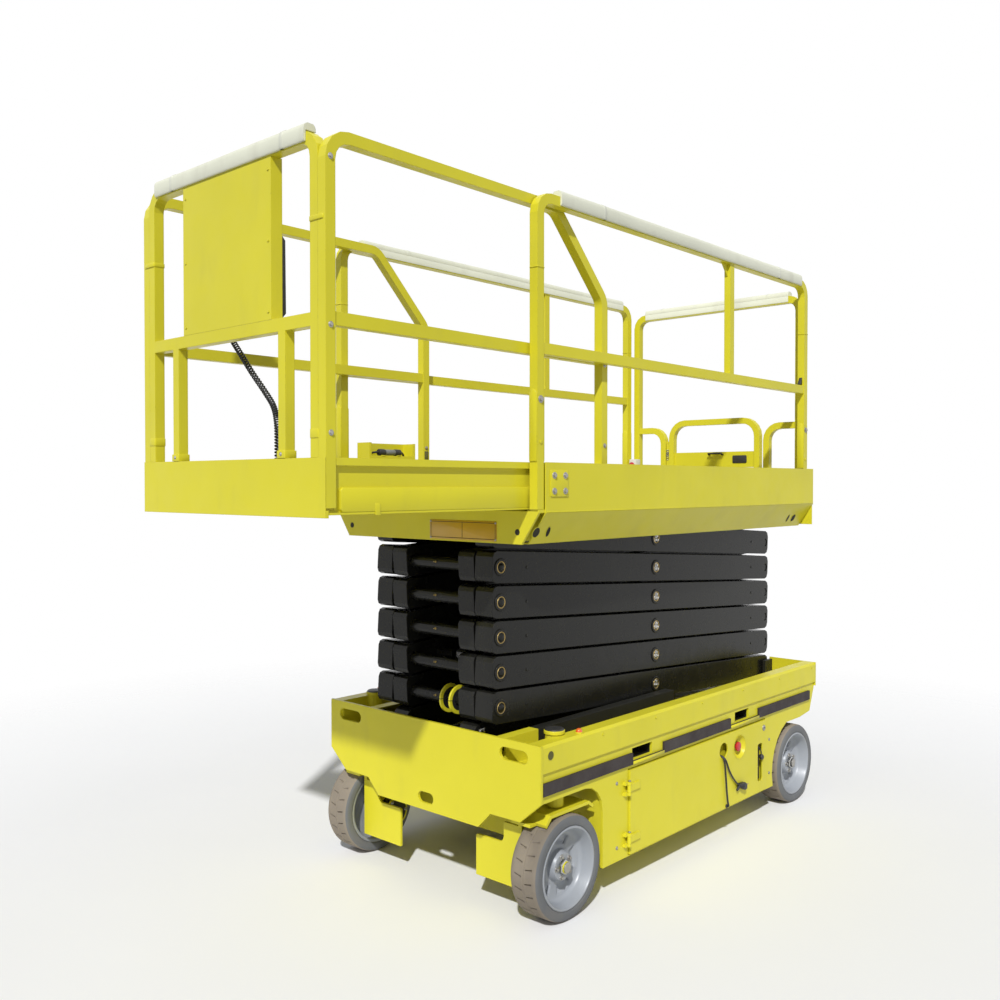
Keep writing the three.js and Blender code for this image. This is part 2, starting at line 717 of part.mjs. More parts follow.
function slider(x) {
  const reach = track.outer - track.web - 2;
  const pin = rod('y', x, 0, pins.slider, arm.innerFace - 1, reach, 14);
  const roller = rod('y', x, 0, pins.roller, reach - pins.rollerWidth, reach, 18);
  return pin.add(roller);
}

// Outer frame: two outer arms, the centre pins and the tube at the front end.
function outerFrame(level) {
  const half = arm.length / 2;
  const inner = arm.outerFace - arm.outerWidth;
  const first = level === 1;
  const last = level === stack.levels;
  const holes = first ? [] : [[-half, pins.end + PIN_GAP]];
  const side = [armSolid(inner, arm.outerFace, arm.corner, arm.rearNose - 1, holes)];
  side.push(rod('y', 0, 0, pins.centre, arm.innerFace - arm.innerWidth - 4, inner + 1, 16));
  if (first) {
    side.push(rod('y', -half, 0, pins.end, arm.outerFace - 1, arm.outerFace + MOVE_GAP + 16, 16));
  }
  if (last) {
    const reach = track.outer - track.web - 2;
    side.push(rod('y', half, 0, pins.slider, arm.outerFace - 1, reach, 14));
    side.push(rod('y', half, 0, pins.roller, reach - pins.rollerWidth, reach, 18));
  }
  return join([bothSides(join(side)), rod('y', half, 0, pins.tube, -inner - 1, inner + 1, 16)]);
}

// Inner frame: two inner arms and the tube at the rear end, which carries the next outer arms.
function innerFrame(level) {
  const half = arm.length / 2;
  const inner = arm.innerFace - arm.innerWidth;
  const first = level === 1;
  const last = level === stack.levels;
  const holes = [[0, pins.centre + PIN_GAP]];
  if (!first) {
    holes.push([half, pins.tube + PIN_GAP]);
  }
  const side = [armSolid(inner, arm.innerFace, first ? arm.round - 16 : arm.corner, arm.rearNose - 1, holes)];
  if (first) {
    side.push(slider(half));
    side.push(rod('y', half, 0, pins.tube, -1, inner + 1, 16));
    side.push(rod('y', cylinder.barrelFoot, 0, pins.end, -1, inner + 1, 16));
  }
  if (level === 3) {
    side.push(rod('y', cylinder.rodHead, 0, pins.end, cylinder.lugInner, inner + 1, 16));
  }
  const reach = last ? arm.innerFace + MOVE_GAP + 24 : arm.outerFace - 3;
  return join([bothSides(join(side)), rod('y', -half, 0, pins.end, -reach, reach, 16)]);
}

function buildStack() {
  for (let level = 1; level <= stack.levels; level += 1) {
    const z = armBase + (level - 1) * stack.pitch;
    const outer = piece(`outer_frame_${level}`, outerFrame(level), 'arm');
    outer.position.set(midPin, 0, z);
    outer.rotation.y = -fold;
    const inner = piece(`inner_frame_${level}`, innerFrame(level), 'arm');
    inner.position.set(midPin, 0, z);
    inner.rotation.y = fold;
  }
}

// The lift ram lies between a tube of the first inner frame and the lugs of the third one.
function buildRam() {
  const foot = new THREE.Vector2(
    midPin + cylinder.barrelFoot * Math.cos(fold),
    armBase - cylinder.barrelFoot * Math.sin(fold),
  );
  const head = new THREE.Vector2(
    midPin + cylinder.rodHead * Math.cos(fold),
    armBase + 2 * stack.pitch - cylinder.rodHead * Math.sin(fold),
  );
  const length = foot.distanceTo(head);
  const lie = Math.atan2(head.y - foot.y, head.x - foot.x);
  const barrel = cut(
    rod('x', 0, 0, cylinder.barrelRadius, 70, cylinder.barrelLength, 20).add(
      rod('y', 0, 0, cylinder.eyeRadius, -cylinder.eyeHalf, cylinder.eyeHalf, 18),
    ).add(block(20, 90, -cylinder.eyeHalf, cylinder.eyeHalf, -28, 28)),
    [
      rod('x', 0, 0, cylinder.bore, 150, cylinder.barrelLength + 1, 16),
      rod('y', 0, 0, pins.end + PIN_GAP, -cylinder.eyeHalf - 1, cylinder.eyeHalf + 1, 16),
    ],
  );
  const rodBody = join([
    rod('x', 0, 0, cylinder.rodRadius, cylinder.rodStart, length - 20, 16),
    rod('y', length, 0, cylinder.headRadius, -cylinder.eyeHalf, cylinder.eyeHalf, 18),
  ]);
  const ram = new THREE.Group();
  ram.position.set(foot.x, 0, foot.y);
  ram.rotation.y = -lie;
  machine.add(ram);
  piece('lift_barrel', barrel, 'black', ram);
  piece('lift_rod', rodBody, 'steel', ram);
}

// ---------------------------------------------------------------- platform

function skinProfile() {
  const { skinOuter, skin, fold: bendZ, lowY, low: lowZ } = deck;
  return [
    [skinOuter, deck.toeTop], [skinOuter, bendZ], [lowY, lowZ], [lowY - 40, lowZ], [lowY - 40, lowZ + skin],
    [lowY - 3, lowZ + skin], [skinOuter - skin, bendZ + 2], [skinOuter - skin, deck.toeTop],
  ];
}

function postPad(x0, x1, y0, y1, floorTop) {
  return bothSides(block(x0, x1, y0, y1, floorTop - 1, floorTop + deck.pad));
}

function platformDeck() {
  const { front, rear } = deck;
  const plate = chassis.rearPlate;
  const inside = deck.skinOuter - deck.skin;
  const pinZ = -deck.overPin;
  const floor = block(rear, front, -inside - 1, inside + 1, 0, deckTop);
  const skins = bothSides(prism('x', skinProfile(), rear, deck.skinFront));
  const caps = bothSides(prism('x', [
    [inside, deck.fold], [deck.lowY - 4, deck.low], [deck.lowY - 40, deck.low], [deck.lowY - 40, 1],
    [inside, 1],
  ], front - 10, front));
  const nose = block(front - 10, front, -deck.lowY + 2, deck.lowY - 2, deck.low, 1);
  const armWay = bothSides(block(rear - 1, rear + plate + 1, arm.innerFace - arm.innerWidth - MOVE_GAP,
    arm.innerFace + MOVE_GAP, deck.low, pinZ + pins.end + 4));
  const back = cut(block(rear, rear + plate, -inside, inside, deck.low + 8, deckTop), [armWay]);
  const toes = bothSides(block(rear, rear + plate, gate.half + 10, inside + 1, deckTop - 1, rearRail.toeTop));
  const lowFlange = pinZ - pins.roller - track.play;
  const highFlange = pinZ + pins.roller + track.play;
  const channel = [
    block(track.rear, front - 10, track.outer - track.web, track.outer, lowFlange - track.flange, 1),
    block(track.rear, track.front, track.inner, track.outer, lowFlange - track.flange, lowFlange),
    block(track.rear, track.front, track.inner, track.outer, highFlange, highFlange + track.flange),
  ];
  const bracketY = [arm.innerFace + MOVE_GAP, arm.innerFace + MOVE_GAP + 18];
  const bracket = cut(
    block(rear, rearPin + 34, ...bracketY, pinZ - 32, 1),
    [rod('y', rearPin, pinZ, pins.end + PIN_GAP, bracketY[0] - 1, bracketY[1] + 1)],
  );
  const slideStrip = bothSides(block(
    ext.rear - ext.travel - 10,
    front - 12,
    ext.webOuter - ext.web,
    ext.half - 3,
    deckTop - 1,
    deckTop + ext.strip,
  ));
  const [hoop0, hoop1] = [rearRail.rearFace, rearRail.rearFace + rail.tube];
  const pads = [
    postPad(mainRail.frontFace - rail.tube - 4, front, railInner, railOuter + 1, deckTop),
    postPad(mainRail.rearFace - 4, mainRail.rearFace + rail.tube + 4, railInner, railOuter + 1, deckTop),
    postPad(hoop0, hoop1 + 4, rearRail.outer - rail.tube - 4, rearRail.outer + 4, deckTop),
    postPad(hoop0, hoop1 + 4, rearRail.hoopLeg - 4, rearRail.hoopLeg + rail.tube + 4, deckTop),
  ];
  return join([
    floor, skins, caps, nose, back, toes, ...channel.map(bothSides), bothSides(bracket), slideStrip, ...pads,
  ]);
}

function guardrail() {
  const half = rail.tube / 2;
  const [front, rear] = [mainRail.frontFace - half, mainRail.rearFace + half];
  const top = rail.top - half;
  const foot = deckTop + deck.pad + SEAT_GAP;
  const hoop = prism('y', bar([[front, foot], [front, top], [rear, top], [rear, foot]], rail.tube, rail.bend),
    railInner, railOuter);
  const middle = block(rear, front, railInner + 3, railOuter - 3, rail.midTop - rail.midHeight, rail.midTop);
  const { midPost } = mainRail;
  const post = block(midPost - half, midPost + half, railInner + 3, railOuter - 3, rail.midTop - 5, top);
  return join([hoop, middle, post]);
}

function rearRailFrame() {
  const half = rail.tube / 2;
  const [x0, x1] = [rearRail.rearFace, rearRail.rearFace + rail.tube];
  const leg = rearRail.outer - half;
  const top = rearRail.top - half;
  const foot = deckTop + deck.pad + SEAT_GAP;
  const path = [[-leg, foot], [-leg, top], [leg, top], [leg, foot]];
  const frame = prism('x', bar(path, rail.tube, rail.bend), x0, x1);
  const hoopLeg = rearRail.hoopLeg + half;
  const hoopZ = rearRail.hoopTop - half;
  const hoopPath = [[leg, hoopZ], [hoopLeg, hoopZ], [hoopLeg, foot]];
  const hoop = prism('x', bar(hoopPath, rail.tube - 2, rearRail.hoopBend, 5), x0 + 2, x1 - 2);
  const hingeX = x0 + gate.hingeIn + 2;
  const lugs = gate.hinges.flatMap((z) => [
    rod('z', hingeX, -gate.half - 5, 7, z + 20.5, z + 32, 12),
    rod('z', hingeX, -gate.half - 5, 7, z - 32, z - 20.5, 12),
    block(hingeX - 4, hingeX + 4, -hoopLeg, -gate.half - 5, z + 20.5, z + 32),
    block(hingeX - 4, hingeX + 4, -hoopLeg, -gate.half - 5, z - 32, z - 20.5),
  ]);
  return join([frame, bothSides(hoop), ...lugs]);
}

function gateFrame() {
  const half = rail.tube / 2;
  const [x0, x1] = [rearRail.rearFace + 2, rearRail.rearFace + rail.tube - 2];
  const leg = gate.half - half - 6;
  const top = gate.top - half;
  const path = [[-leg, gate.sill], [-leg, top], [leg, top], [leg, gate.sill]];
  const hoop = prism('x', bar(path, rail.tube - 4, gate.bend, 5), x0, x1);
  const plate = block(x0 + 8, x1 - 8, -leg, leg, gate.plateLow, gate.plateTop);
  const barrels = gate.hinges.flatMap((z) => [
    rod('z', x0 + gate.hingeIn, -gate.half - 5, 7, z - 20, z + 20, 12),
    block(x0 + gate.hingeIn - 4, x0 + gate.hingeIn + 4, -gate.half - 5, -leg, z - 20, z + 20),
  ]);
  return join([hoop, plate, ...barrels]);
}

// A foam sleeve lies over the top of a rail and down its outer face.
function foamProfile(inner, outer, top) {
  const low = top - rail.tube + 6;
  const way = Math.sign(outer - inner);
  return [
    [inner, top + SEAT_GAP], [outer + way * SEAT_GAP, top + SEAT_GAP], [outer + way * SEAT_GAP, low],
    [outer + way * foam.side, low], [outer + way * foam.side, top + foam.over - 12],
    [outer, top + foam.over], [inner + way * 8, top + foam.over], [inner, top + foam.over - 8],
  ];
}

function buildPlatform() {
  piece('platform_deck', platformDeck(), 'yellow', platform);
  pair('guardrail', guardrail(), 'yellow', platform);
  piece('rear_rail', rearRailFrame(), 'yellow', platform);
  piece('entry_gate', gateFrame(), 'yellow', platform);
  pair('side_foam', prism('x', foamProfile(railInner, railOuter, rail.top), -960, 970), 'foam', platform);
  const rearFace = rearRail.rearFace;
  const rearSleeve = foamProfile(rearFace + rail.tube, rearFace, rearRail.top);
  piece('rear_foam', prism('y', rearSleeve, -440, 440), 'foam', platform);
}

// ---------------------------------------------------------------- deck extension

function extensionDeck() {
  const inner = ext.half - ext.sideWidth;
  const side = prism('x', [
    [inner, deck.toeTop], [ext.half, deck.toeTop], [ext.half, ext.flangeLow], [ext.webOuter, ext.flangeLow],
    [ext.webOuter, extLip + ext.lip], [ext.half - 3, extLip + ext.lip], [ext.half - 3, extLip],
    [ext.webOuter - ext.web, extLip], [ext.webOuter - ext.web, deck.toeTop - 8], [inner, deck.toeTop - 8],
  ], ext.rear, ext.front - ext.panel);
  const floorHalf = ext.webOuter - 1;
  const floor = block(ext.rear, ext.front - ext.panel, -floorHalf, floorHalf, ext.floorBottom, extTop);
  const toe = block(ext.front - ext.panel, ext.front, -ext.half, ext.half, ext.panelLow, deck.toeTop);
  const posts = [extRail.frontFace - rail.tube / 2, extRail.rearPost];
  const sockets = posts.map((x) => (
    block(x - rail.tube / 2 - 1, x + rail.tube / 2 + 1, inner - 1, ext.half + 1, extTop, deck.toeTop + 1)
  ));
  const half = rail.tube / 2;
  const sidePads = posts.map((x) => (
    postPad(x - half - 1, x + half - 0.5, ext.half - rail.tube - 2, floorHalf, extTop)
  ));
  const back = ext.front - ext.panel;
  const padY = [ext.half - 2 * rail.tube - 4, ext.half - rail.tube - 1];
  const frontPad = postPad(back - rail.tube, back + 1, ...padY, extTop);
  const body = cut(join([bothSides(side), floor, toe]), sockets.map(bothSides));
  const grommet = rod('z', ...curly.foot, curly.grommet, extTop - 1, curly.grommetTop, 20);
  return join([body, ...sidePads, frontPad, grommet]);
}

function extensionSideRail() {
  const half = rail.tube / 2;
  const front = extRail.frontFace - half;
  const top = extRail.top - half;
  const foot = extTop + deck.pad + SEAT_GAP;
  const [y0, y1] = [ext.half - rail.tube, ext.half];
  const hoop = prism('y', bar([
    [front, foot], [front, top], [extRail.topBend, top], [extRail.rearPost, extRail.kneeZ],
    [extRail.rearPost, foot],
  ], rail.tube, extRail.bend), y0, y1);
  const middle = block(extRail.rearPost, front, y0 + 3, y1 - 3, rail.midTop - rail.midHeight, rail.midTop);
  return hoop.add(middle);
}

function extensionFrontRail() {
  const half = rail.tube / 2;
  const [x0, x1] = [extRail.frontFace - rail.tube, extRail.frontFace];
  const leg = ext.half - rail.tube - SEAT_GAP - half;
  const top = frontRail.top - half;
  const foot = extTop + deck.pad + SEAT_GAP;
  const path = [[-leg, foot], [-leg, top], [leg, top], [leg, foot]];
  const frame = prism('x', bar(path, rail.tube, rail.bend), x0, x1);
  const middle = block(x0 + 2, x1, -leg, leg, rail.midTop - rail.midHeight, rail.midTop);
  const posts = bothSides(block(x0 + 2, x1, frontRail.lowPost - half, frontRail.lowPost + half,
    deck.toeTop + SEAT_GAP, rail.midTop - 5));
  return cut(join([frame, middle, posts]), [
    block(ext.front - ext.panel - SEAT_GAP, ext.front, -ext.half, ext.half, extTop, deck.toeTop + SEAT_GAP),
  ]);
}

function frontPanel() {
  const { panelHalf, panelDepth, sheet } = frontRail;
  const [z0, z1] = [rail.midTop + SEAT_GAP, frontRail.top - rail.tube - SEAT_GAP];
  const x1 = extRail.frontFace;
  return join([
    block(x1 - sheet, x1, -panelHalf, panelHalf, z0, z1),
    bothSides(block(x1 - panelDepth, x1, panelHalf - sheet, panelHalf, z0, z1)),
  ]);
}

function controlBox() {
  const { front, depth, half, low, top } = box;
  const body = prism('y', rounded([
    [front - depth, low], [front, low], [front, top], [front - depth / 2, top], [front - depth, top - 70],
  ], [12, 8, 8, 12, 12], 2), -half, half);
  const hooks = bothSides(block(front - 1, extRail.frontFace - frontRail.sheet - SEAT_GAP,
    box.hookInner, box.hookOuter, top - 60, top - 20));
  const stick = rod('z', front - depth / 4, box.stick, 14, top - 20, top + 70, 12);
  return join([body, hooks, stick]).translate([0, box.side, 0]);
}

const curlyRoute = [
  [1872, -165, 649.6], [1872, -165, 628], [1877, -126, 585], [1882, -66, 530], [1886, 0, 468],
  [1890, 75, 403], [1892, 128, 350], [1893, 147, 300], [1893, 150, 235], [1893, 150, 160],
  [1893, 150, 90], [...curly.foot, curly.grommetTop + SEAT_GAP],
];

function cableTray() {
  const { rear, front, inner, height, wall } = tray;
  const y0 = -(ext.half - 42);
  const z0 = deck.toeTop + SEAT_GAP;
  const outside = block(rear, front, y0, inner, z0, z0 + height);
  const hollow = block(rear + wall, front - wall, y0 + wall, inner - wall, z0 + wall, z0 + height + 1);
  const window = block(rear + 12, front - 12, inner - wall - 1, inner + 1, z0 + 42, z0 + height + 1);
  const foot = block(rear, front, -(ext.half - 4), y0 + 1, z0, z0 + wall);
  return join([cut(outside, [hollow, window]), foot]);
}

function buildExtension() {
  piece('extension_deck', extensionDeck(), 'yellow', platform);
  pair('extension_side_rail', extensionSideRail(), 'yellow', platform);
  piece('extension_front_rail', extensionFrontRail(), 'yellow', platform);
  piece('front_panel', frontPanel(), 'yellow', platform);
  piece('control_box', controlBox(), 'black', platform);
  piece('curly_cord', tube(curlyRoute, curly.radius, 8, 36), 'black', platform);
  piece('cable_tray', cableTray(), 'yellow', platform);
  const face = extRail.frontFace;
  const sleeve = foamProfile(face - rail.tube, face, frontRail.top);
  piece('front_foam', prism('y', sleeve, -425, 425), 'foam', platform);
}

// ---------------------------------------------------------------- assembly

buildChassis();
buildDoors();
buildLead();
buildWheels();
pair('knuckle', knuckle(), 'yellow');
buildStack();
buildRam();
buildPlatform();
buildExtension();

export default model;
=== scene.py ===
"""Looks of a self-propelled scissor lift, made over its fixed frame."""
import logging
import math
from collections.abc import Callable
from dataclasses import dataclass
from enum import Enum

import bpy
from mathutils import Matrix, Vector, noise


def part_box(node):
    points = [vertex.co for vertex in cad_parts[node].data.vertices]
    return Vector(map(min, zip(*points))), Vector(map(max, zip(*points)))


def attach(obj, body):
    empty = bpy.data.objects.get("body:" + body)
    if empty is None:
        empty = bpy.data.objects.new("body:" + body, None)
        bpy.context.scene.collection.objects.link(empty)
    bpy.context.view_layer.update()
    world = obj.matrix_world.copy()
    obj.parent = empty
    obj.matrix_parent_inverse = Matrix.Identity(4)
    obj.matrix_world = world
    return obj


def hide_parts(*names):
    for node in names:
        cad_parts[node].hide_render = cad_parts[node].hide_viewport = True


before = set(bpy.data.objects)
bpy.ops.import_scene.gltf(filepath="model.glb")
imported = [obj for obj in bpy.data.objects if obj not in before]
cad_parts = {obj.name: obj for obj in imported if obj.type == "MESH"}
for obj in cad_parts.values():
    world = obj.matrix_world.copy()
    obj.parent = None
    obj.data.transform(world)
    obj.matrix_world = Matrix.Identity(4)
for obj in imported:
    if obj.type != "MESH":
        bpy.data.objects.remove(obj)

log = logging.getLogger("lift")
Piece = bpy.types.Object
Socket = bpy.types.NodeSocket
Place = tuple[float, float, float]
Colour = Place
Points = list[tuple[float, float]]
Cuts = tuple[tuple[float, float], ...]
Parts = list[Piece]
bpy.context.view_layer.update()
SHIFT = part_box("front_plate")[1].x - 1.106
DECK = 1480.0
# Near-black colour of painted shade.
SHADED = (0.014, 0.014, 0.011)


class Axis(Enum):
    """The machine's three directions."""

    X = 0
    Y = 1
    Z = 2


class Pattern(Enum):
    """What a surface's fine relief looks like."""

    PEEL = "peel"
    GRAIN = "grain"
    BRUSHED = "brushed"
    LUGS = "lugs"
    CELLS = "cells"


# ------------------------------------------------------------------ finishes


class NodeSheet:
    """A material's node sheet, with short ways to add and join nodes."""

    def __init__(self, name: str) -> None:
        """Starts an empty sheet with a Principled shader."""
        self.material = bpy.data.materials.new(name)
        self.material.use_nodes = True
        self.tree = self.material.node_tree
        self.tree.nodes.clear()
        self.output = self.add("ShaderNodeOutputMaterial")
        self.shader = self.add("ShaderNodeBsdfPrincipled")
        self.link(self.shader.outputs[0], self.output.inputs[0])
        self.place = self.add("ShaderNodeTexCoord").outputs["Object"]

    def add(self, kind: str, **settings: object) -> bpy.types.Node:
        """Adds a node and sets its properties, or its sockets where the name is a socket's."""
        node = self.tree.nodes.new(kind)
        for key, value in settings.items():
            if hasattr(node, key):
                setattr(node, key, value)
            else:
                node.inputs[key.replace("_", " ")].default_value = value
        return node

    def link(self, a: Socket, b: Socket) -> None:
        """Joins an output to an input."""
        self.tree.links.new(a, b)

    def noise(self, scale: float, detail: float = 3.0, stretch: Place = (1, 1, 1)) -> Socket:
        """Adds a noise over the object.

        Args:
            scale: Features per metre.
            detail: Octaves.
            stretch: How far each direction is drawn out.

        Returns:
            The noise's value.
        """
        mapping = self.add("ShaderNodeMapping", Scale=stretch)
        self.link(self.place, mapping.inputs[0])
        texture = self.add("ShaderNodeTexNoise", Scale=scale, Detail=detail)
        self.link(mapping.outputs[0], texture.inputs["Vector"])
        return texture.outputs[0]

    def span(self, value: Socket, low: float, high: float, a: float, b: float) -> Socket:
        """Maps a value from low and high to a and b."""
        node = self.add("ShaderNodeMapRange")
        for index, number in enumerate((low, high, a, b), start=1):
            node.inputs[index].default_value = number
        self.link(value, node.inputs[0])
        return node.outputs[0]

    def blend(self, factor: Socket, a: object, b: object) -> Socket:
        """Mixes two colours, each a socket or a colour, by a factor."""
        node = self.add("ShaderNodeMix", data_type="RGBA")
        self.link(factor, node.inputs[0])
        for slot, value in ((6, a), (7, b)):
            if isinstance(value, Socket):
                self.link(value, node.inputs[slot])
            else:
                node.inputs[slot].default_value = (*value, 1.0)
        return node.outputs[2]

    def math(self, kind: str, a: Socket, b: object) -> Socket:
        """Combines a value with another value or number."""
        node = self.add("ShaderNodeMath", operation=kind)
        self.link(a, node.inputs[0])
        if isinstance(b, Socket):
            self.link(b, node.inputs[1])
        else:
            node.inputs[1].default_value = b
        return node.outputs[0]


@dataclass(frozen=True)
class Finish:
    """One finish: its colour, its gloss, how it is marked and chipped, the painted highlight its edges may carry, and
    the painted shade it may hold.
    """

    name: str
    slot: str
    colour: Colour
    roughness: float = 0.4
    metallic: float = 0.0
    specular: float = 0.5
    pattern: Pattern = Pattern.PEEL
    grain: float = 420.0
    bump: float = 0.08
    mottle: float = 0.1
    dirt: Colour = (0.20, 0.18, 0.10)
    dirty: float = 0.10
    wear_and_highlight_colour: Colour = (0.10, 0.10, 0.09)
    wear_and_highlight: float = 0.35
    edge: float = 0.0025
    sheen: float = 0.0
    coat: float = 0.0
    painted_shade_box: tuple[float, ...] = ()

    def relief(self, sheet: NodeSheet) -> Socket:
        """Makes the height of the fine relief."""
        if self.pattern is Pattern.BRUSHED:
            return sheet.noise(self.grain, 2.0, (0.05, 1.0, 1.0))
        if self.pattern is Pattern.CELLS:
            cells = sheet.add("ShaderNodeTexVoronoi", Scale=self.grain)
            sheet.link(sheet.place, cells.inputs["Vector"])
            return cells.outputs["Distance"]
        if self.pattern is Pattern.LUGS:
            waves = []
            for turn in (0.785, -0.785):
                mapping = sheet.add("ShaderNodeMapping", Rotation=(0, 0, turn))
                sheet.link(sheet.place, mapping.inputs[0])
                wave = sheet.add("ShaderNodeTexWave", Scale=self.grain)
                sheet.link(mapping.outputs[0], wave.inputs["Vector"])
                waves.append(wave.outputs[1])
            return sheet.span(sheet.math("MULTIPLY", *waves), 0.45, 0.6, 0.0, 1.0)
        return sheet.noise(self.grain, 3.0 if self.pattern is Pattern.GRAIN else 1.0)

    def build(self) -> bpy.types.Material:
        """Makes the material: mottled colour, dirt, chipped edges that may also carry a painted highlight, painted
        shade where asked, and relief.

        Returns:
            The finished material.
        """
        sheet = NodeSheet(self.name)
        dark = tuple(c * (1 - self.mottle) for c in self.colour)
        light = tuple(min(1.0, c * (1 + self.mottle * 0.5)) for c in self.colour)
        colour = sheet.blend(sheet.span(sheet.noise(2.3, 5.0), 0.35, 0.65, 0, 1), dark, light)
        smear = sheet.span(sheet.noise(9.0, 6.0, (1, 1, 0.35)), 0.55, 0.8, 0.0, self.dirty)
        colour = sheet.blend(smear, colour, self.dirt)
        bevel = sheet.add("ShaderNodeBevel", samples=4, Radius=self.edge)
        true = sheet.add("ShaderNodeNewGeometry").outputs["Normal"]
        turn = sheet.add("ShaderNodeVectorMath", operation="DOT_PRODUCT")
        sheet.link(bevel.outputs[0], turn.inputs[0])
        sheet.link(true, turn.inputs[1])
        # Edge colour: chipped paint on the edges; on the arms its light colour is also a painted edge highlight.
        ridge = sheet.span(turn.outputs["Value"], 0.985, 0.86, 0.0, 1.0)
        wear_and_highlight_spots = sheet.span(sheet.noise(70.0, 5.0), 0.56, 0.66, 0.0, self.wear_and_highlight)
        colour = sheet.blend(sheet.math("MULTIPLY", ridge, wear_and_highlight_spots), colour, self.wear_and_highlight_colour)
        # Painted shade: behind an X limit and above a Z floor, away from the floor plate, the tray's roller channels
        # and pockets are painted near black where shade falls.
        if self.painted_shade_box:
            parts = sheet.add("ShaderNodeSeparateXYZ")
            sheet.link(sheet.place, parts.inputs[0])
            behind = sheet.math("LESS_THAN", parts.outputs[0], self.painted_shade_box[0])
            above = sheet.math("GREATER_THAN", parts.outputs[2], self.painted_shade_box[1])
            height = sheet.math("ABSOLUTE", sheet.math("SUBTRACT", parts.outputs[2], self.painted_shade_box[2]), 0)
            painted_shade_mask = sheet.math("MULTIPLY", behind, sheet.math("GREATER_THAN", height, self.painted_shade_box[3]))
            colour = sheet.blend(sheet.math("MULTIPLY", painted_shade_mask, above), colour, SHADED)
        sheet.link(colour, sheet.shader.inputs["Base Color"])
        rough = sheet.span(sheet.noise(16.0, 4.0), 0.3, 0.7, self.roughness * 0.85, min(1.0, self.roughness * 1.2))
        sheet.link(rough, sheet.shader.inputs["Roughness"])
        bump = sheet.add("ShaderNodeBump", Strength=self.bump, Distance=0.002)
        sheet.link(self.relief(sheet), bump.inputs["Height"])
        sheet.link(bevel.outputs[0], bump.inputs["Normal"])
        sheet.link(bump.outputs[0], sheet.shader.inputs["Normal"])
        for socket, value in (("Metallic", self.metallic), ("Specular IOR Level", self.specular),
                              ("Sheen Weight", self.sheen), ("Coat Weight", self.coat)):
            sheet.shader.inputs[socket].default_value = value
        return sheet.material


PAINT = Finish("lime_paint", "yellow", (0.70, 0.635, 0.028), 0.36, specular=0.32, mottle=0.05)
# The tray's paint, with painted shade on its roller channels and pockets.
TRAY_PAINT = Finish("tray_paint", "yellow", (0.70, 0.635, 0.028), 0.45, specular=0.3, mottle=0.05,
                    painted_shade_box=(0.436, 0.4935, 0.549, 0.0045))
FLOOR_PAINT = Finish("lime_floor", "yellow", (0.56, 0.51, 0.04), 0.55, pattern=Pattern.LUGS, grain=11.0, bump=0.6,
                     dirty=0.5, mottle=0.12, wear_and_highlight=0.7)
# Arm paint: its light edge colour is partly chipped paint and partly a painted edge highlight.
ARM_PAINT = Finish("arm_paint", "arm_grey", (0.011, 0.011, 0.0095), 0.25, specular=0.22, bump=0.02, wear_and_highlight=0.25,
                   wear_and_highlight_colour=(0.16, 0.16, 0.16), dirt=(0.04, 0.037, 0.03), dirty=0.15, edge=0.004)
BLACK_PAINT = Finish("black_paint", "black", (0.018, 0.018, 0.019), 0.45, wear_and_highlight=0.2, dirt=(0.08, 0.07, 0.05),
                     dirty=0.35, grain=300.0)
RUBBER = Finish("rubber", "rubber_black", (0.030, 0.022, 0.022), 0.7, pattern=Pattern.GRAIN, bump=0.25,
                dirt=(0.10, 0.09, 0.07), dirty=0.3, wear_and_highlight=0.1)
TREAD = Finish("tread_rubber", "tyre_grey", (0.255, 0.218, 0.175), 0.88, specular=0.25, pattern=Pattern.GRAIN,
               grain=260.0, bump=0.5, mottle=0.22, dirt=(0.34, 0.29, 0.22), dirty=0.6, wear_and_highlight=0.2)
SIDEWALL = Finish("sidewall_rubber", "tyre_grey", (0.150, 0.155, 0.160), 0.75, specular=0.3, pattern=Pattern.GRAIN,
                  grain=300.0, bump=0.3, mottle=0.15, dirt=(0.24, 0.21, 0.17), dirty=0.4, wear_and_highlight=0.1)
RIM = Finish("rim_paint", "rim_grey", (0.32, 0.34, 0.37), 0.36, coat=0.1, mottle=0.07, dirty=0.25, wear_and_highlight=0.25)
STEEL = Finish("bright_steel", "steel", (0.55, 0.55, 0.54), 0.25, 1.0, pattern=Pattern.BRUSHED, grain=600.0,
               dirt=(0.20, 0.17, 0.12), dirty=0.3, wear_and_highlight=0.1)
ZINC = Finish("zinc_bolts", "steel", (0.38, 0.37, 0.35), 0.4, 0.9, grain=500.0, dirt=(0.16, 0.10, 0.06), dirty=0.5)
BRASS = Finish("brass", "steel", (0.50, 0.36, 0.14), 0.35, 0.9, grain=500.0, dirt=(0.12, 0.08, 0.04), dirty=0.4)
PLASTIC = Finish("black_plastic", "plastic_black", (0.020, 0.020, 0.022), 0.5, pattern=Pattern.GRAIN, grain=900.0,
                 bump=0.2, dirt=(0.10, 0.09, 0.07), dirty=0.25, wear_and_highlight=0.1)
GREY_PLASTIC = Finish("grey_plastic", "plastic_black", (0.20, 0.21, 0.21), 0.5, pattern=Pattern.GRAIN, grain=900.0,
                      bump=0.2, wear_and_highlight=0.1)
WHITE_PLASTIC = Finish("white_plastic", "foam_cream", (0.72, 0.72, 0.68), 0.45, pattern=Pattern.GRAIN, grain=900.0,
                       bump=0.1, wear_and_highlight=0.1)
FOAM = Finish("rail_foam", "foam_cream", (0.80, 0.81, 0.66), 0.62, specular=0.35, pattern=Pattern.CELLS,
              grain=420.0, bump=0.12, mottle=0.06, dirt=(0.45, 0.43, 0.33), dirty=0.35, wear_and_highlight=0.0, edge=0.004,
              sheen=0.2)
TAPE = Finish("foam_tape", "foam_cream", (0.74, 0.75, 0.63), 0.35, grain=200.0, bump=0.1, wear_and_highlight=0.0)
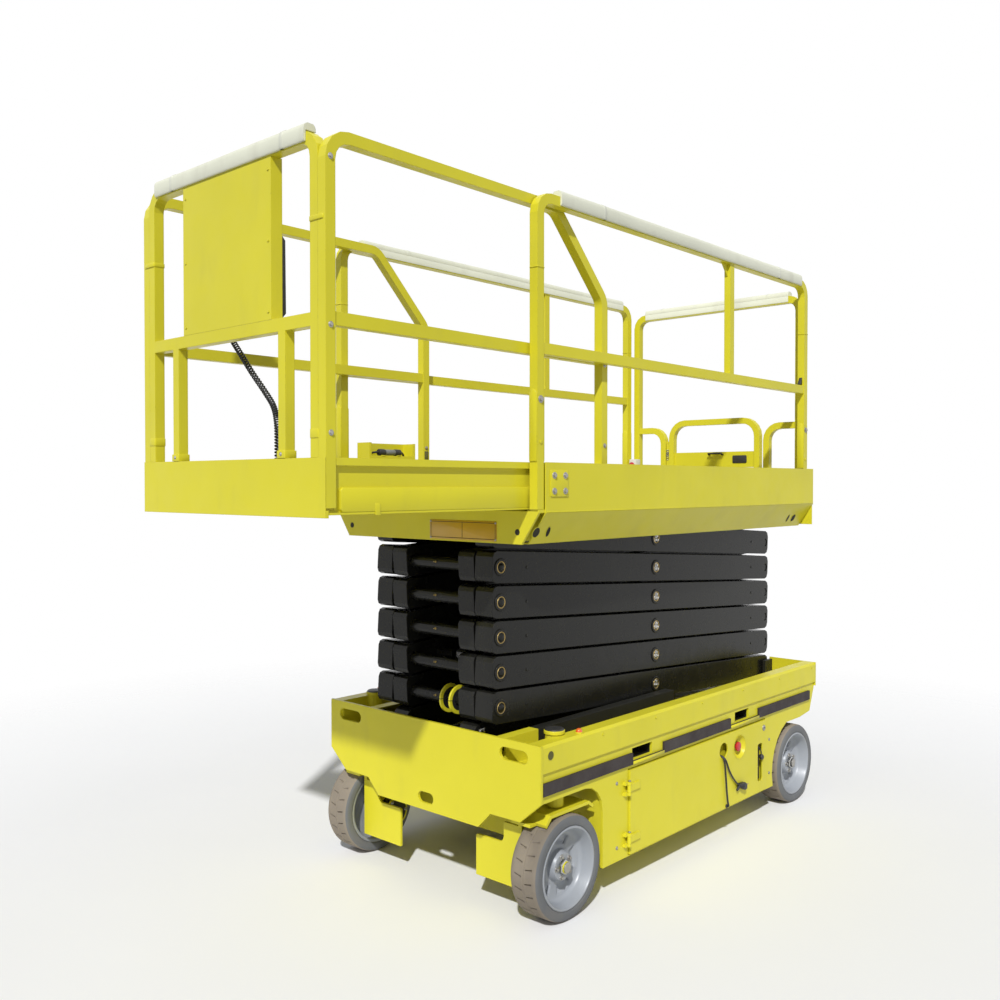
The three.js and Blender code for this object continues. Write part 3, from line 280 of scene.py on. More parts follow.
STOP_RED = Finish("stop_red", "stop_red", (0.55, 0.015, 0.02), 0.3, grain=500.0, bump=0.05, wear_and_highlight=0.05, coat=0.3)
LAMP = Finish("lamp_amber", "stop_red", (0.75, 0.14, 0.02), 0.15, grain=300.0, bump=0.03, wear_and_highlight=0.0, coat=0.6)
DECAL = Finish("blank_decal", "yellow", (0.60, 0.36, 0.015), 0.35, grain=200.0, bump=0.03, wear_and_highlight=0.1)
# Near black: printed lines on the blank plate, and painted shade in holes drawn as flat discs.
PRINT_AND_PAINTED_SHADE = Finish("print_and_painted_shade", "yellow", (0.012, 0.012, 0.008), 0.8, wear_and_highlight=0.0)
# Painted shade for the inside of holes and recesses.
PAINTED_RECESS_SHADE = Finish("painted_recess_shade", "yellow", (0.10, 0.095, 0.015), 0.7, mottle=0.3, wear_and_highlight=0.0)


class Paintbox:
    """Makes each finish's material once."""

    def __init__(self) -> None:
        """Starts empty."""
        self.made: dict[str, bpy.types.Material] = {}

    def get(self, finish: Finish) -> bpy.types.Material:
        """Returns the finish's material."""
        if finish.name not in self.made:
            self.made[finish.name] = finish.build()
        return self.made[finish.name]


paints = Paintbox()


# ------------------------------------------------------------------ bench


@dataclass
class Bench:
    """Models pieces with Blender's own tools. Sizes and places are the machine's millimetres.

    Attributes:
        shift: Added to X, in metres, to reach the shared frame.
        lift: Added to Z, in millimetres.
    """

    shift: float = SHIFT
    lift: float = 0.0

    def point(self, x: float, y: float, z: float) -> Vector:
        """Gives a machine place in the shared frame, in metres."""
        return Vector((x / 1000 + self.shift, y / 1000, (z + self.lift) / 1000))

    @staticmethod
    def clear() -> None:
        """Deselects everything."""
        bpy.ops.object.select_all(action="DESELECT")

    @staticmethod
    def edit(kind: str = "", action: str = "SELECT") -> None:
        """Enters edit mode and selects everything or nothing.

        Args:
            kind: What is picked from now on, VERT, EDGE or FACE, or empty to leave it.
            action: SELECT or DESELECT.
        """
        bpy.ops.object.mode_set(mode="EDIT")
        if kind:
            bpy.ops.mesh.select_mode(type=kind)
        bpy.ops.mesh.select_all(action=action)

    @staticmethod
    def done() -> None:
        """Leaves edit mode."""
        bpy.ops.object.mode_set(mode="OBJECT")

    def inset_faces(self, obj: Piece, chosen: Callable[[Vector], bool], cuts: Cuts, apart: bool = False) -> None:
        """Insets the faces whose centres are chosen.

        Args:
            obj: The piece.
            chosen: Tells from a face's centre whether it is inset.
            cuts: Thickness and depth of each inset, one after another, in metres.
            apart: Whether each face is inset by itself.
        """
        self.pick(obj)
        self.edit("FACE", "DESELECT")
        self.done()
        for face in obj.data.polygons:
            face.select = chosen(face.center)
        bpy.ops.object.mode_set(mode="EDIT")
        for thickness, depth in cuts:
            bpy.ops.mesh.inset(thickness=thickness, depth=depth, use_individual=apart)
        self.done()

    def pick(self, obj: Piece) -> None:
        """Selects one object alone and makes it active."""
        self.clear()
        obj.select_set(True)
        bpy.context.view_layer.objects.active = obj

    def settle(self, name: str, finish: Finish, bevel: float) -> Piece:
        """Bevels the sharp edges of the active object, smooths it and paints it.

        Args:
            name: The object's name.
            finish: Its finish.
            bevel: Width of the bevel in millimetres, 0 for none.

        Returns:
            The object, its place in its mesh.
        """
        obj = bpy.context.object
        bpy.ops.object.transform_apply(location=True, rotation=True, scale=True)
        self.edit()
        bpy.ops.mesh.normals_make_consistent(inside=False)
        if bevel:
            bpy.ops.mesh.select_all(action="DESELECT")
            bpy.ops.mesh.select_mode(type="EDGE")
            bpy.ops.mesh.edges_select_sharp(sharpness=math.radians(40))
            bpy.ops.mesh.bevel(offset=bevel / 1000, segments=2, affect="EDGES", clamp_overlap=True)
        self.done()
        bpy.ops.object.shade_smooth_by_angle(angle=math.radians(38))
        obj.name = name
        obj.data.materials.clear()
        obj.data.materials.append(paints.get(finish))
        return obj

    def block(self, x0: float, x1: float, y0: float, y1: float, z0: float, z1: float, finish: Finish,
              bevel: float = 1.2) -> Piece:
        """Models a block with eased edges between two corners.

        Args:
            x0: Its lower X, with x1, y0, y1, z0 and z1 after it.
            finish: Its finish.
            bevel: Bevel in millimetres.

        Returns:
            The block.
        """
        low, high = self.point(x0, y0, z0), self.point(x1, y1, z1)
        self.clear()
        bpy.ops.mesh.primitive_cube_add(size=1, location=(low + high) / 2, scale=high - low)
        return self.settle("block", finish, bevel)

    def rod(self, axis: Axis, centre: Place, radius: float, length: float, finish: Finish,
            bevel: float = 1.0, sides: int = 24) -> Piece:
        """Models a rod about its centre, along an axis, with eased ends.

        Args:
            axis: Its direction.
            centre: Its middle.
            radius: Its radius.
            length: Its length.
            finish: Its finish.
            bevel: Bevel in millimetres.
            sides: How many faces go round it.

        Returns:
            The rod.
        """
        turn = {Axis.X: (0, math.pi / 2, 0), Axis.Y: (math.pi / 2, 0, 0), Axis.Z: (0, 0, 0)}[axis]
        self.clear()
        bpy.ops.mesh.primitive_cylinder_add(vertices=sides, radius=radius / 1000, depth=length / 1000,
                                            location=self.point(*centre), rotation=turn)
        return self.settle("rod", finish, bevel)

    def loop(self, places: list[Vector], filled: bool) -> Piece:
        """Starts a mesh as a closed outline.

        Args:
            places: Its corners in the shared frame.
            filled: Whether it has a face.

        Returns:
            The outline, as the active object.
        """
        self.clear()
        bpy.ops.mesh.primitive_circle_add(vertices=len(places), radius=0.01, fill_type="NGON" if filled else "NOTHING")
        obj = bpy.context.object
        for vertex, place in zip(obj.data.vertices, places):
            vertex.co = place
        return obj

    def place_on(self, axis: Axis, a: float, b: float, along: float) -> Vector:
        """Puts (a, b) on the plane across an axis: (y, z), (x, z) or (x, y)."""
        return {Axis.X: self.point(along, a, b), Axis.Y: self.point(a, along, b), Axis.Z: self.point(a, b, along)}[axis]

    def plate(self, axis: Axis, outline: Points, start: float, end: float, finish: Finish, bevel: float = 1.0,
              runs: int = 1) -> Piece:
        """Extrudes an outline along an axis.

        Args:
            axis: The direction of the thickness.
            outline: Corners as place_on takes them.
            start: Where it begins.
            end: Where it ends.
            finish: Its finish.
            bevel: Bevel in millimetres.
            runs: How many steps the length is made in.

        Returns:
            The plate.
        """
        self.loop([self.place_on(axis, a, b, start) for a, b in outline], True)
        step = self.place_on(axis, 0, 0, end) - self.place_on(axis, 0, 0, start)
        self.edit()
        for _ in range(runs):
            bpy.ops.mesh.extrude_region_move(TRANSFORM_OT_translate={"value": step / runs})
        self.done()
        return self.settle("plate", finish, bevel)

    def spun(self, axis: Axis, centre: Place, profile: Points, finish: Finish, steps: int = 32) -> Piece:
        """Spins a closed profile of (radius, height) about an axis through a centre.

        Args:
            axis: The axis of the turn.
            centre: A point on it.
            profile: Closed profile, clear of the axis or touching it.
            finish: Its finish.
            steps: Steps of the turn.

        Returns:
            The turned piece.
        """
        middle = self.point(*centre)
        way = Vector([float(i == axis.value) for i in range(3)])
        out = Vector([float(i == (axis.value + 1) % 3) for i in range(3)])
        self.loop([middle + out * (r / 1000) + way * (h / 1000) for r, h in profile], False)
        self.edit()
        bpy.ops.mesh.spin(steps=steps, angle=2 * math.pi, center=middle, axis=way)
        bpy.ops.mesh.select_all(action="SELECT")
        bpy.ops.mesh.remove_doubles(threshold=0.00002)
        self.done()
        return self.settle("spun", finish, 0.0)

    def hose(self, places: list[Place], radius: float, finish: Finish) -> Piece:
        """Runs a hose through places and makes it a mesh."""
        obj = self.line(places, radius, finish)
        self.pick(obj)
        bpy.ops.object.convert(target="MESH")
        obj = bpy.context.object
        bpy.ops.object.shade_smooth()
        return obj

    def line(self, places: list[Place], radius: float, finish: Finish, name: str = "hose") -> Piece:
        """Draws one open smooth curve through places.

        Args:
            places: What it passes.
            radius: Half of its thickness in millimetres.
            finish: Its finish.
            name: The object's name.

        Returns:
            The curve.
        """
        curve = bpy.data.curves.new(name, "CURVE")
        curve.dimensions = "3D"
        curve.bevel_depth = radius / 1000
        curve.bevel_resolution = 3
        curve.use_fill_caps = True
        spline = curve.splines.new("POLY")
        spline.points.add(len(places) - 1)
        for item, place in zip(spline.points, places):
            item.co = (*self.point(*place), 1.0)
        obj = bpy.data.objects.new(name, curve)
        bpy.context.scene.collection.objects.link(obj)
        curve.materials.append(paints.get(finish))
        return obj

    @staticmethod
    def copied(obj: Piece, where: Matrix) -> Piece:
        """Copies an object with a mesh of its own, moved by a matrix."""
        twin = obj.copy()
        twin.data = obj.data.copy()
        twin.data.transform(where)
        if where.determinant() < 0:
            twin.data.flip_normals()
        bpy.context.scene.collection.objects.link(twin)
        return twin

    def mirrored(self, parts: Parts) -> Parts:
        """Copies pieces to the machine's other side."""
        return [self.copied(part, Matrix.Scale(-1, 4, (0, 1, 0))) for part in parts]

    def joined(self, name: str, parts: Parts) -> Piece:
        """Joins parts into one named object."""
        self.clear()
        for part in parts:
            part.select_set(True)
        bpy.context.view_layer.objects.active = parts[0]
        if len(parts) > 1:
            bpy.ops.object.join()
        obj = bpy.context.object
        obj.name = name
        obj.data.name = name
        return obj

    def scattered(self, master: Piece, places: list[Matrix]) -> Parts:
        """Copies a master to each place and removes the master."""
        twins = [self.copied(master, place) for place in places]
        bpy.data.objects.remove(master)
        return twins

    def bolts(self, axis: Axis, places: list[Place], radius: float, height: float, finish: Finish,
              way: int = 1) -> Parts:
        """Sets hexagon bolts with washers at places.

        Args:
            axis: Where their heads point.
            places: Where they sit.
            radius: The head's radius.
            height: The height of washer and head together.
            finish: Their finish.
            way: 1 for heads along the axis, -1 for heads against it.

        Returns:
            The bolts.
        """
        local = Bench(0.0)
        base = local.rod(Axis.Z, (0, 0, height * 0.12), radius * 1.5, height * 0.24, finish, 0.3, 20)
        head = local.rod(Axis.Z, (0, 0, height * 0.6), radius, height * 0.8, finish, 0.5, 6)
        master = local.joined("bolt", [base, head])
        turn = {Axis.X: Matrix.Rotation(way * math.pi / 2, 4, "Y"), Axis.Y: Matrix.Rotation(-way * math.pi / 2, 4, "X"),
                Axis.Z: Matrix.Rotation(0 if way > 0 else math.pi, 4, "X")}[axis]
        return self.scattered(master, [Matrix.Translation(self.point(*p)) @ turn for p in places])


bench = Bench()
deck = Bench(lift=DECK)
origin = Bench(0.0)


class Assembly:
    """A sub-assembly: keeps its pieces and hands them to their bodies."""

    def keep(self, name: str, parts: Parts, body: str, slot: str, replaces: tuple[str, ...] = ()) -> Piece:
        """Joins parts into one piece that rides on a body.

        Args:
            name: The piece's name.
            parts: What it is made of.
            body: The body it rides on.
            slot: The name of a material slot; not used.
            replaces: CAD nodes it stands for.

        Returns:
            The piece.
        """
        obj = bench.joined(name, parts)
        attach(obj, body)
        if replaces:
            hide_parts(*replaces)
        log.info("%s rides on %s", name, body)
        return obj

    @staticmethod
    def dress(finish: Finish, *nodes: str) -> None:
        """Gives CAD nodes a finish."""
        for node in nodes:
            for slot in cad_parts[node].material_slots:
                slot.material = paints.get(finish)


def rounded_box(a0: float, a1: float, b0: float, b1: float, radius: float, steps: int = 4) -> Points:
    """Gives the outline of a box with round corners.

    Args:
        a0: Its low end the first way, with a1, b0 and b1 after it.
        radius: The corners' radius.
        steps: Steps of each corner.

    Returns:
        The outline's corners.
    """
    corners = [(a1 - radius, b1 - radius, 0), (a0 + radius, b1 - radius, 1), (a0 + radius, b0 + radius, 2),
               (a1 - radius, b0 + radius, 3)]
    points = []
    for a, b, quarter in corners:
        for step in range(steps + 1):
            turn = (quarter + step / steps) * math.pi / 2
            points.append((a + radius * math.cos(turn), b + radius * math.sin(turn)))
    return points


# ------------------------------------------------------------------ wheels


@dataclass
class Wheels(Assembly):
    """Four solid tyres on dished rims."""

    radius: float = 190.5
    half: float = 63.5
    steps: int = 96
    turns: int = 60
    webs: int = 5

    def tyre(self) -> Piece:
        """Models a tyre about the origin, with two staggered rows of slanted grooves."""
        r, h = self.radius, self.half
        side = [(152.3, h - 4), (155, h - 1), (160, h), (174, h - 0.3), (182, h - 2), (187, h - 7), (190, h - 13),
                (r, h - 20), (r, 4), (r - 2, 2)]
        profile = [(a, -b) for a, b in side] + [(a, b) for a, b in reversed(side)]
        obj = origin.spun(Axis.Y, (0, 0, 0), profile, TREAD, self.steps)
        for vertex in obj.data.vertices:
            x, y, z = vertex.co
            if math.hypot(x, z) > (r - 1) / 1000:
                turn = Matrix.Rotation(-abs(y) * 1.1, 3, "Y")
                vertex.co = turn @ Vector((x, y, z))
        obj.data.materials.append(paints.get(SIDEWALL))
        for face in obj.data.polygons:
            if math.hypot(face.center.x, face.center.z) < 0.186 and abs(face.center.y) > 0.05:
                face.material_index = 1

        def groove(centre: Vector) -> bool:
            """Tells whether a tread face is one of the grooves."""
            place = round(math.atan2(centre.z, centre.x) / (2 * math.pi) * self.steps - 0.5)
            band = math.hypot(centre.x, centre.z) > (r - 0.6) / 1000 and 0.006 < abs(centre.y) < 0.04
            return band and (place + (2 if centre.y > 0 else 0)) % 4 == 0

        bench.inset_faces(obj, groove, ((0.0029, 0.0), (0.0005, -0.007)), True)
        return obj

    def rim(self) -> Parts:
        """Models a dished rim with kidney webs, its bolts and its nut."""
        profile = [(23, -42), (52, -42), (52, -11), (138, -11), (138, -56), (145, -60), (151.5, -59.5), (151.5, 59.5),
                   (148, 62), (143.5, 61.5), (140, 56), (133, 22), (127, 10), (118, 5), (68, 2), (60, 5), (56, 12),
                   (52, 30), (49, 33), (27, 33), (23, 30)]
        obj = origin.spun(Axis.Y, (0, 0, 0), profile, RIM, self.turns)
        sector = self.turns // self.webs

        def kidney(centre: Vector) -> bool:
            """Tells whether a face of the dish is part of a kidney."""
            place = round(math.atan2(centre.z, centre.x) / (2 * math.pi) * self.turns - 0.5) % sector
            return 0.07 < math.hypot(centre.x, centre.z) < 0.116 and centre.y > 0 and 1 <= place <= sector - 3

        bench.inset_faces(obj, kidney, ((0.006, 0.0), (0.005, -0.009)))
        ring = [(40 * math.cos(2 * math.pi * i / 5), 33, 40 * math.sin(2 * math.pi * i / 5)) for i in range(5)]
        bolts = origin.bolts(Axis.Y, ring, 6.5, 9, ZINC)
        nut = origin.spun(Axis.Y, (0, 0, 0), [(21.7, 34), (29, 34), (29, 43), (26, 46), (21.7, 46)], STEEL, 6)
        cap = origin.spun(Axis.Y, (0, 0, 0), [(0.5, 49), (16, 49), (20, 51), (20, 53), (14, 55), (0.5, 56)], ZINC, 20)
        return [obj, nut, cap, *bolts]

    def build(self) -> None:
        """Makes one wheel and copies it to the four axle ends."""
        tyre = self.tyre()
        rim = origin.joined("rim", self.rim())
        for end in ("front", "rear"):
            for side, way in (("left", 1), ("right", -1)):
                low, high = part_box(f"{end}_{side}_tyre")
                place = Matrix.Translation((low + high) / 2) @ Matrix.Scale(way, 4, (0, 1, 0))
                for kind, master, slot in (("tyre", tyre, "tyre_grey"), ("rim", rim, "rim_grey")):
                    twin = bench.copied(master, place)
                    self.keep(f"{end}_{side}_{kind}_detail", [twin], f"{end}_{side}_wheel", slot,
                              (f"{end}_{side}_{kind}",))
        for master in (tyre, rim):
            bpy.data.objects.remove(master)


# ------------------------------------------------------------------ chassis


@dataclass
class Chassis(Assembly):
    """The chassis: its caps, lamps, holes, hinges, steps and packs."""

    half: float = 582.0
    top: float = 664.0
    kingpin: tuple[float, float] = (930.0, 500.0)

    def hole(self, x: float, y: float, z: float, radius: float) -> Parts:
        """Models a hole as a drawn rim on the outer side round a flat disc painted with the hole's shade."""
        rim = bench.spun(Axis.Y, (x, y, z), [(radius - 1.5, 0.1), (radius + 1, 0.1), (radius + 1, 0.7),
                                             (radius - 1.5, 1.0)], PAINT, 28)
        dark = bench.spun(Axis.Y, (x, y, z), [(0.4, 0.1), (radius - 1.4, 0.1), (radius - 1.4, 0.6), (0.4, 0.4)],
                          PAINTED_RECESS_SHADE, 28)
        return [rim, dark]

    def side(self) -> Parts:
        """Models the details of the left side."""
        x, y = self.kingpin
        ring = bench.spun(Axis.Z, (x, y, self.top), [(30, 4), (39, 4), (39, 15), (37, 17), (33, 17), (30, 15)],
                          PAINT, 40)
        cap = bench.spun(Axis.Z, (x, y, self.top + 14), [(0.5, 0), (36, 0), (36.5, 4), (33, 8), (22, 10), (0.5, 11)],
                         PLASTIC, 40)
        collar = bench.spun(Axis.Z, (856, 557, self.top), [(0.5, 0), (17, 0), (17, 2.5), (13, 4), (0.5, 4)], PAINT, 28)
        dome = bench.spun(Axis.Z, (856, 557, self.top), [(0.4, 3), (12.5, 3), (12.5, 7), (10, 13), (6, 16.5),
                                                         (0.4, 18)], LAMP, 28)
        gusset = bench.plate(Axis.X, [(440, 140), (560, 140), (560, 300), (546, 352), (520, 382), (488, 396),
                                      (456, 388), (440, 372)], 694, 700, PAINT, 0.8)
        pins = bench.bolts(Axis.Z, [(578, 590, z) for z in (229, 429)], 4.5, 4, ZINC)
        screws = bench.bolts(Axis.Y, [(x0, 574, z) for x0, z in ((640, 180), (640, 430), (-610, 200), (-610, 360))],
                             5, 4, ZINC)
        cheek = bench.bolts(Axis.Y, [(x0, self.half, 640) for x0 in (-1060, -700, -340, 20, 380, 740)], 4, 3, PAINT)
        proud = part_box("bumper_rail_left")[1].y * 1000
        covers = [bench.block(x0, x1, proud + 0.2, proud + 1.0, 484.6, 497.6, PAINT, 0.2)
                  for x0, x1 in ((321, 543), (-491, -227))]
        lug = self.hole(1052, self.half, 624, 17.5)
        return [cap, ring, collar, dome, gusset, *covers, *pins, *screws, *cheek, *lug]

    def steps(self) -> Parts:
        """Models the grip bars and bolts of the rear steps."""
        parts = []
        master = origin.plate(Axis.Y, [(0, 0), (38, 0), (36, 3), (2, 3)], -3, 3, PAINT, 0.5)
        places = [Matrix.Translation(bench.point(-1102, y, z)) for z in (254.3, 414.3) for y in range(-175, 176, 25)]
        parts += bench.scattered(master, places)
        parts += bench.bolts(Axis.X, [(-1106, y, z) for y in (-150, 150) for z in (510, 530)], 6, 5, ZINC, -1)
        return parts

    def packs(self) -> Parts:
        """Models the fronts of the packs behind the left door."""
        parts = [bench.block(-500 + i * 262, -262 + i * 262, 528, 538, 160, 415, PLASTIC, 4) for i in range(4)]
        ribs = origin.block(-3, 3, 0, 7, -100, 100, PLASTIC, 1)
        places = [Matrix.Translation(bench.point(-470 + i * 262 + j * 30, 536, 285))
                  for i in range(4) for j in range(7)]
        parts += bench.scattered(ribs, places)
        parts += bench.bolts(Axis.Z, [(-430 + i * 131, 450, 430) for i in range(8)], 11, 12, ZINC)
        parts.append(bench.hose([(-430 + i * 20, 450 + 20 * math.sin(i * 0.5), 452) for i in range(46)], 6, STOP_RED))
        return parts

    def build(self) -> None:
        """Makes the chassis pieces."""
        self.dress(PAINT, "chassis_side_left", "chassis_side_right", "front_plate", "rear_plate",
                   "knuckle_left", "knuckle_right", "door_left", "door_right")
        self.dress(TRAY_PAINT, "chassis_tray")
        self.dress(BLACK_PAINT, "rear_axle", "hydraulic_block", "battery_block", "steer_cylinder")
        self.dress(RUBBER, "bumper_rail_left", "bumper_rail_right")
        self.dress(STEEL, "steer_rod", "lift_rod")
        side = self.side()
        self.keep("chassis_fittings_right", bench.mirrored(side), "chassis", "yellow")
        self.keep("chassis_fittings_left", side, "chassis", "yellow")
        self.keep("rear_step_grips", self.steps(), "chassis", "yellow")
        packs = self.packs()
        self.keep("battery_fronts", bench.mirrored(packs), "chassis", "black")
        self.keep("hydraulic_fronts", packs, "chassis", "black")
        barrel = [bench.rod(Axis.Y, (800, s * 158, 424), 31, 12, BLACK_PAINT, 2) for s in (-1, 1)]
        ports = bench.bolts(Axis.Z, [(800, s * 140, 451) for s in (-1, 1)], 7, 14, ZINC)
        hoses = [bench.hose([(800, s * 140, 465), (790, s * 136, 490), (770, s * 120, 515), (730, s * 100, 530),
                             (680, s * 90, 536)], 6, PLASTIC) for s in (-1, 1)]
        self.keep("steer_fittings", [*barrel, *ports, *hoses], "chassis", "black")
        for name, way in (("left", 1), ("right", -1)):
            self.keep(f"motor_{name}", self.motor(way), f"knuckle_{name}", "black")

    def motor(self, way: int) -> Parts:
        """Models the drive motor of one knuckle, with its ring of bolts and its hose."""
        parts = [bench.spun(Axis.Y, (941.6, way * 350, 190.5),
                            [(0.5, 0), (50, 0), (64, way * 6), (64, way * 40), (60, way * 44), (60, way * 74),
                             (0.5, way * 74)], BLACK_PAINT, 36)]
        ring = [(941.6 + 50 * math.cos(i * math.pi / 3), way * 350, 190.5 + 50 * math.sin(i * math.pi / 3))
                for i in range(6)]
        parts += bench.bolts(Axis.Y, ring, 5, 6, ZINC, -way)
        parts.append(bench.hose([(941.6, way * 352, 240), (940, way * 330, 290), (925, way * 318, 350),
                                 (900, way * 330, 396)], 7, PLASTIC))
        return parts


@dataclass
class Doors(Assembly):
    """The side doors with the ground stop, the leads and the bleed knob."""

    half: float = 582.0

    def cup(self) -> Parts:
        """Models the recessed cup of the ground stop."""
        profile = [(22.5, -25), (38, -26), (46, -20), (53.5, -1), (56.5, 0.5), (56.5, 1.3), (52.5, 0.6), (44, -18),
                   (37, -23.6), (22.5, -22.6)]
        return [bench.spun(Axis.Y, (-310, self.half, 385), profile, PAINT, 44)]

    def slot_works(self) -> Parts:
        """Models what shows in the lower slot: a strip, a bent bracket, a cable and a knob."""
        strip = bench.block(-527, -507, 560, 566, 190, 358, PLASTIC, 1.5)
        bracket = bench.plate(Axis.X, [(556, 250), (572, 250), (572, 254), (560, 254), (560, 300), (556, 300)],
                              -505, -487, PAINT, 0.5)
        knob = bench.spun(Axis.Y, (-519, 566, 296), [(0.5, 0), (5, 0), (5, 9), (11, 11), (13, 19), (10, 24),
                                                     (0.5, 25)], PLASTIC, 24)
        cable = bench.hose(smooth_path([(-500, 558, 352), (-500, 576, 345), (-505, 583, 334), (-512, 584, 322),
                                        (-515, 582, 310), (-515, 574, 304), (-515, 562, 302)], 24), 2.5, PLASTIC)
        return [strip, bracket, knob, cable]

    def frame_lip(self) -> Parts:
        """Models the door's latch with its key, and four screws."""
        latch = bench.spun(Axis.Y, (-540, self.half, 430), [(0.5, 0), (14, 0), (14, 2), (11, 4), (0.5, 3)], ZINC, 26)
        key = bench.block(-546, -534, self.half + 3, self.half + 5.5, 428.5, 431.5, PLASTIC, 0.4)
        screws = bench.bolts(Axis.Y, [(538, self.half, z) for z in (190, 208, 390, 408)], 4, 3, ZINC)
        return [latch, key, *screws]

    def stop(self) -> Piece:
        """Models the mushroom button."""
        profile = [(0.4, -28), (9, -28), (9, -14), (20, -13), (22, -9), (21, -4), (16, -1.4), (8, -0.7), (0.4, -0.5)]
        return bench.spun(Axis.Y, (-310, self.half, 385), profile, STOP_RED, 36)

    def plug(self) -> Parts:
        """Models the plug with its grip ribs and two blades."""
        outline = [(-287, 209), (-285, 217), (-288, 225), (-306, 224), (-331, 222), (-343, 214), (-346, 204),
                   (-345, 192), (-338, 188), (-324, 188), (-304, 200)]
        head = bench.plate(Axis.Y, outline, self.half + 0.4, self.half + 21, PLASTIC, 3.5)
        ribs = [bench.block(-318 + 7 * i, -315 + 7 * i, self.half + 20, self.half + 22, 202, 219, PLASTIC, 0.6)
                for i in range(4)]
        blades = [bench.block(-363, -340, self.half + y - 0.8, self.half + y + 0.8, z - 3, z + 3, BRASS, 0.5)
                  for y, z in ((5, 198), (16, 208))]
        relief = bench.spun(Axis.X, (-292, self.half + 10, 215), [(4.1, 0), (7.5, 0), (6.6, 10), (5.6, 22), (4.6, 30),
                                                                  (4.1, 30)], PLASTIC, 20)
        bench.pick(relief)
        bench.edit()
        bpy.ops.transform.rotate(value=math.radians(-36), orient_axis="Y",
                                 center_override=bench.point(-292, self.half + 10, 215))
        bench.done()
        return [head, *ribs, *blades, relief]

    def build(self) -> None:
        """Makes the doors' pieces and the leads."""
        cup = self.cup()
        works = self.slot_works()
        lip = self.frame_lip()
        blank = self.stop_blank()
        right = bench.mirrored([*cup, *works, *lip, blank])
        bpy.data.objects.remove(blank)
        self.keep("door_right_fittings", right, "door_right", "yellow")
        self.keep("door_left_fittings", [*cup, *works, *lip], "door_left", "yellow")
        self.keep("stop_button", [self.stop()], "door_left", "stop_red", ("ground_stop",))
        plug = self.keep("lead_plug", self.plug(), "door_left", "plastic_black", ("mains_plug",))
        Leads().build(plug)

    def stop_blank(self) -> Piece:
        """Models the round cover that fills the cup on the other door."""
        profile = [(0.4, -26), (24, -26), (24, -20), (20, -16), (0.4, -15)]
        return bench.spun(Axis.Y, (-310, self.half, 385), profile, PLASTIC, 30)


def smooth_path(places: list[Place], count: int) -> list[Place]:
    """Runs a smooth curve through places.

    Args:
        places: What it passes.
        count: How many points it is given as.

    Returns:
        Points along it.
    """
    ends = [tuple(2 * a - b for a, b in zip(places[0], places[1]))]
    ends += places + [tuple(2 * a - b for a, b in zip(places[-1], places[-2]))]
    result = []
    for i in range(count + 1):
        place = i / count * (len(places) - 1)
        k = min(int(place), len(places) - 2)
        t = place - k
        p = ends[k:k + 4]
        result.append(tuple(0.5 * (2 * b + (c - a) * t + (2 * a - 5 * b + 4 * c - d) * t ** 2
                                   + (3 * b - a - 3 * c + d) * t ** 3) for a, b, c, d in zip(*p)))
    return result


def path_length(places: list[Place]) -> float:
    """Measures a path in metres."""
    return sum((Vector(b) - Vector(a)).length for a, b in zip(places, places[1:])) / 1000


@dataclass
class Leads(Assembly):
    """The mains lead and the strand beside it."""

    radius: float = 4.0

    def build(self, plug: Piece) -> None:
        """Makes the two strands on the left door."""
        route = [(-166, 554.4, 370), (-166, 562, 370), (-166, 576, 368), (-168, 590, 355), (-176, 594, 334),
                 (-196, 593, 303), (-222, 592, 272), (-250, 592, 244), (-272, 592, 226), (-285.5, 592, 218.5)]
        path = smooth_path(route, 36)
        lead = bench.line(path, self.radius, PLASTIC, "door_lead")
        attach(lead, "door_left")
        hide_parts("mains_lead")
        back = [(-150, 554.4, 374), (-150, 562, 374), (-150, 578, 373), (-152, 589, 364), (-156, 592, 345),
                (-164, 591, 315), (-172, 590, 270), (-180, 590, 210), (-187, 591, 165), (-190, 593, 148),
                (-190, 589, 143), (-190, 582.4, 143)]
        gland = bench.spun(Axis.Y, (-190, 582, 143), [(4.2, 0), (9, 0), (8.5, 3), (6, 5), (4.2, 5)], PLASTIC, 20)
        strand = bench.hose(smooth_path(back, 48), self.radius, PLASTIC)
        self.keep("door_strand", [strand, gland], "door_left", "plastic_black", ("lead_return",))


@dataclass
class CurlyCord(Assembly):
    """The control box's coiled cord: one long wire wound round a hanging route."""

    outer: float = 10.6
    wire: float = 2.8
    turn_gap: float = 9.2

    def build(self) -> None:
        route = [(1872, -165, 649.6), (1872, -165, 628), (1877, -126, 585), (1882, -66, 530), (1886, 0, 468),
                 (1890, 75, 403), (1892, 128, 350), (1893, 147, 300), (1893, 150, 235), (1893, 150, 160),
                 (1893, 150, 90), (1893, 150, 30.4)]
        core = smooth_path([(x, y, z + DECK) for x, y, z in route], 300)
        span = path_length(core) * 1000
        turns = int(span / self.turn_gap)
        mean = self.outer - self.wire
        wire, count = [], turns * 14
        side = Vector((1, 0, 0))
        for i in range(count + 1):
            place = i / count * (len(core) - 1)
            k = min(int(place), len(core) - 2)
            a, b = Vector(core[k]), Vector(core[k + 1])
            along = (b - a).normalized()
            side = (side - along * side.dot(along)).normalized()
            up = along.cross(side)
            turn = i / 14 * 2 * math.pi
            reach = mean * min(1.0, i / 14, (count - i) / 14)
            wire.append(tuple(a.lerp(b, place - k) + (side * math.cos(turn) + up * math.sin(turn)) * reach))
        obj = bench.line(wire, self.wire, PLASTIC, "coiled_cord")
        obj.data.bevel_resolution = 1
        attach(obj, "extension")
        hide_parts("curly_cord")
        log.info("coiled cord: %.2f m of wire in %d turns", path_length(wire), turns)


# ------------------------------------------------------------------ scissor stack


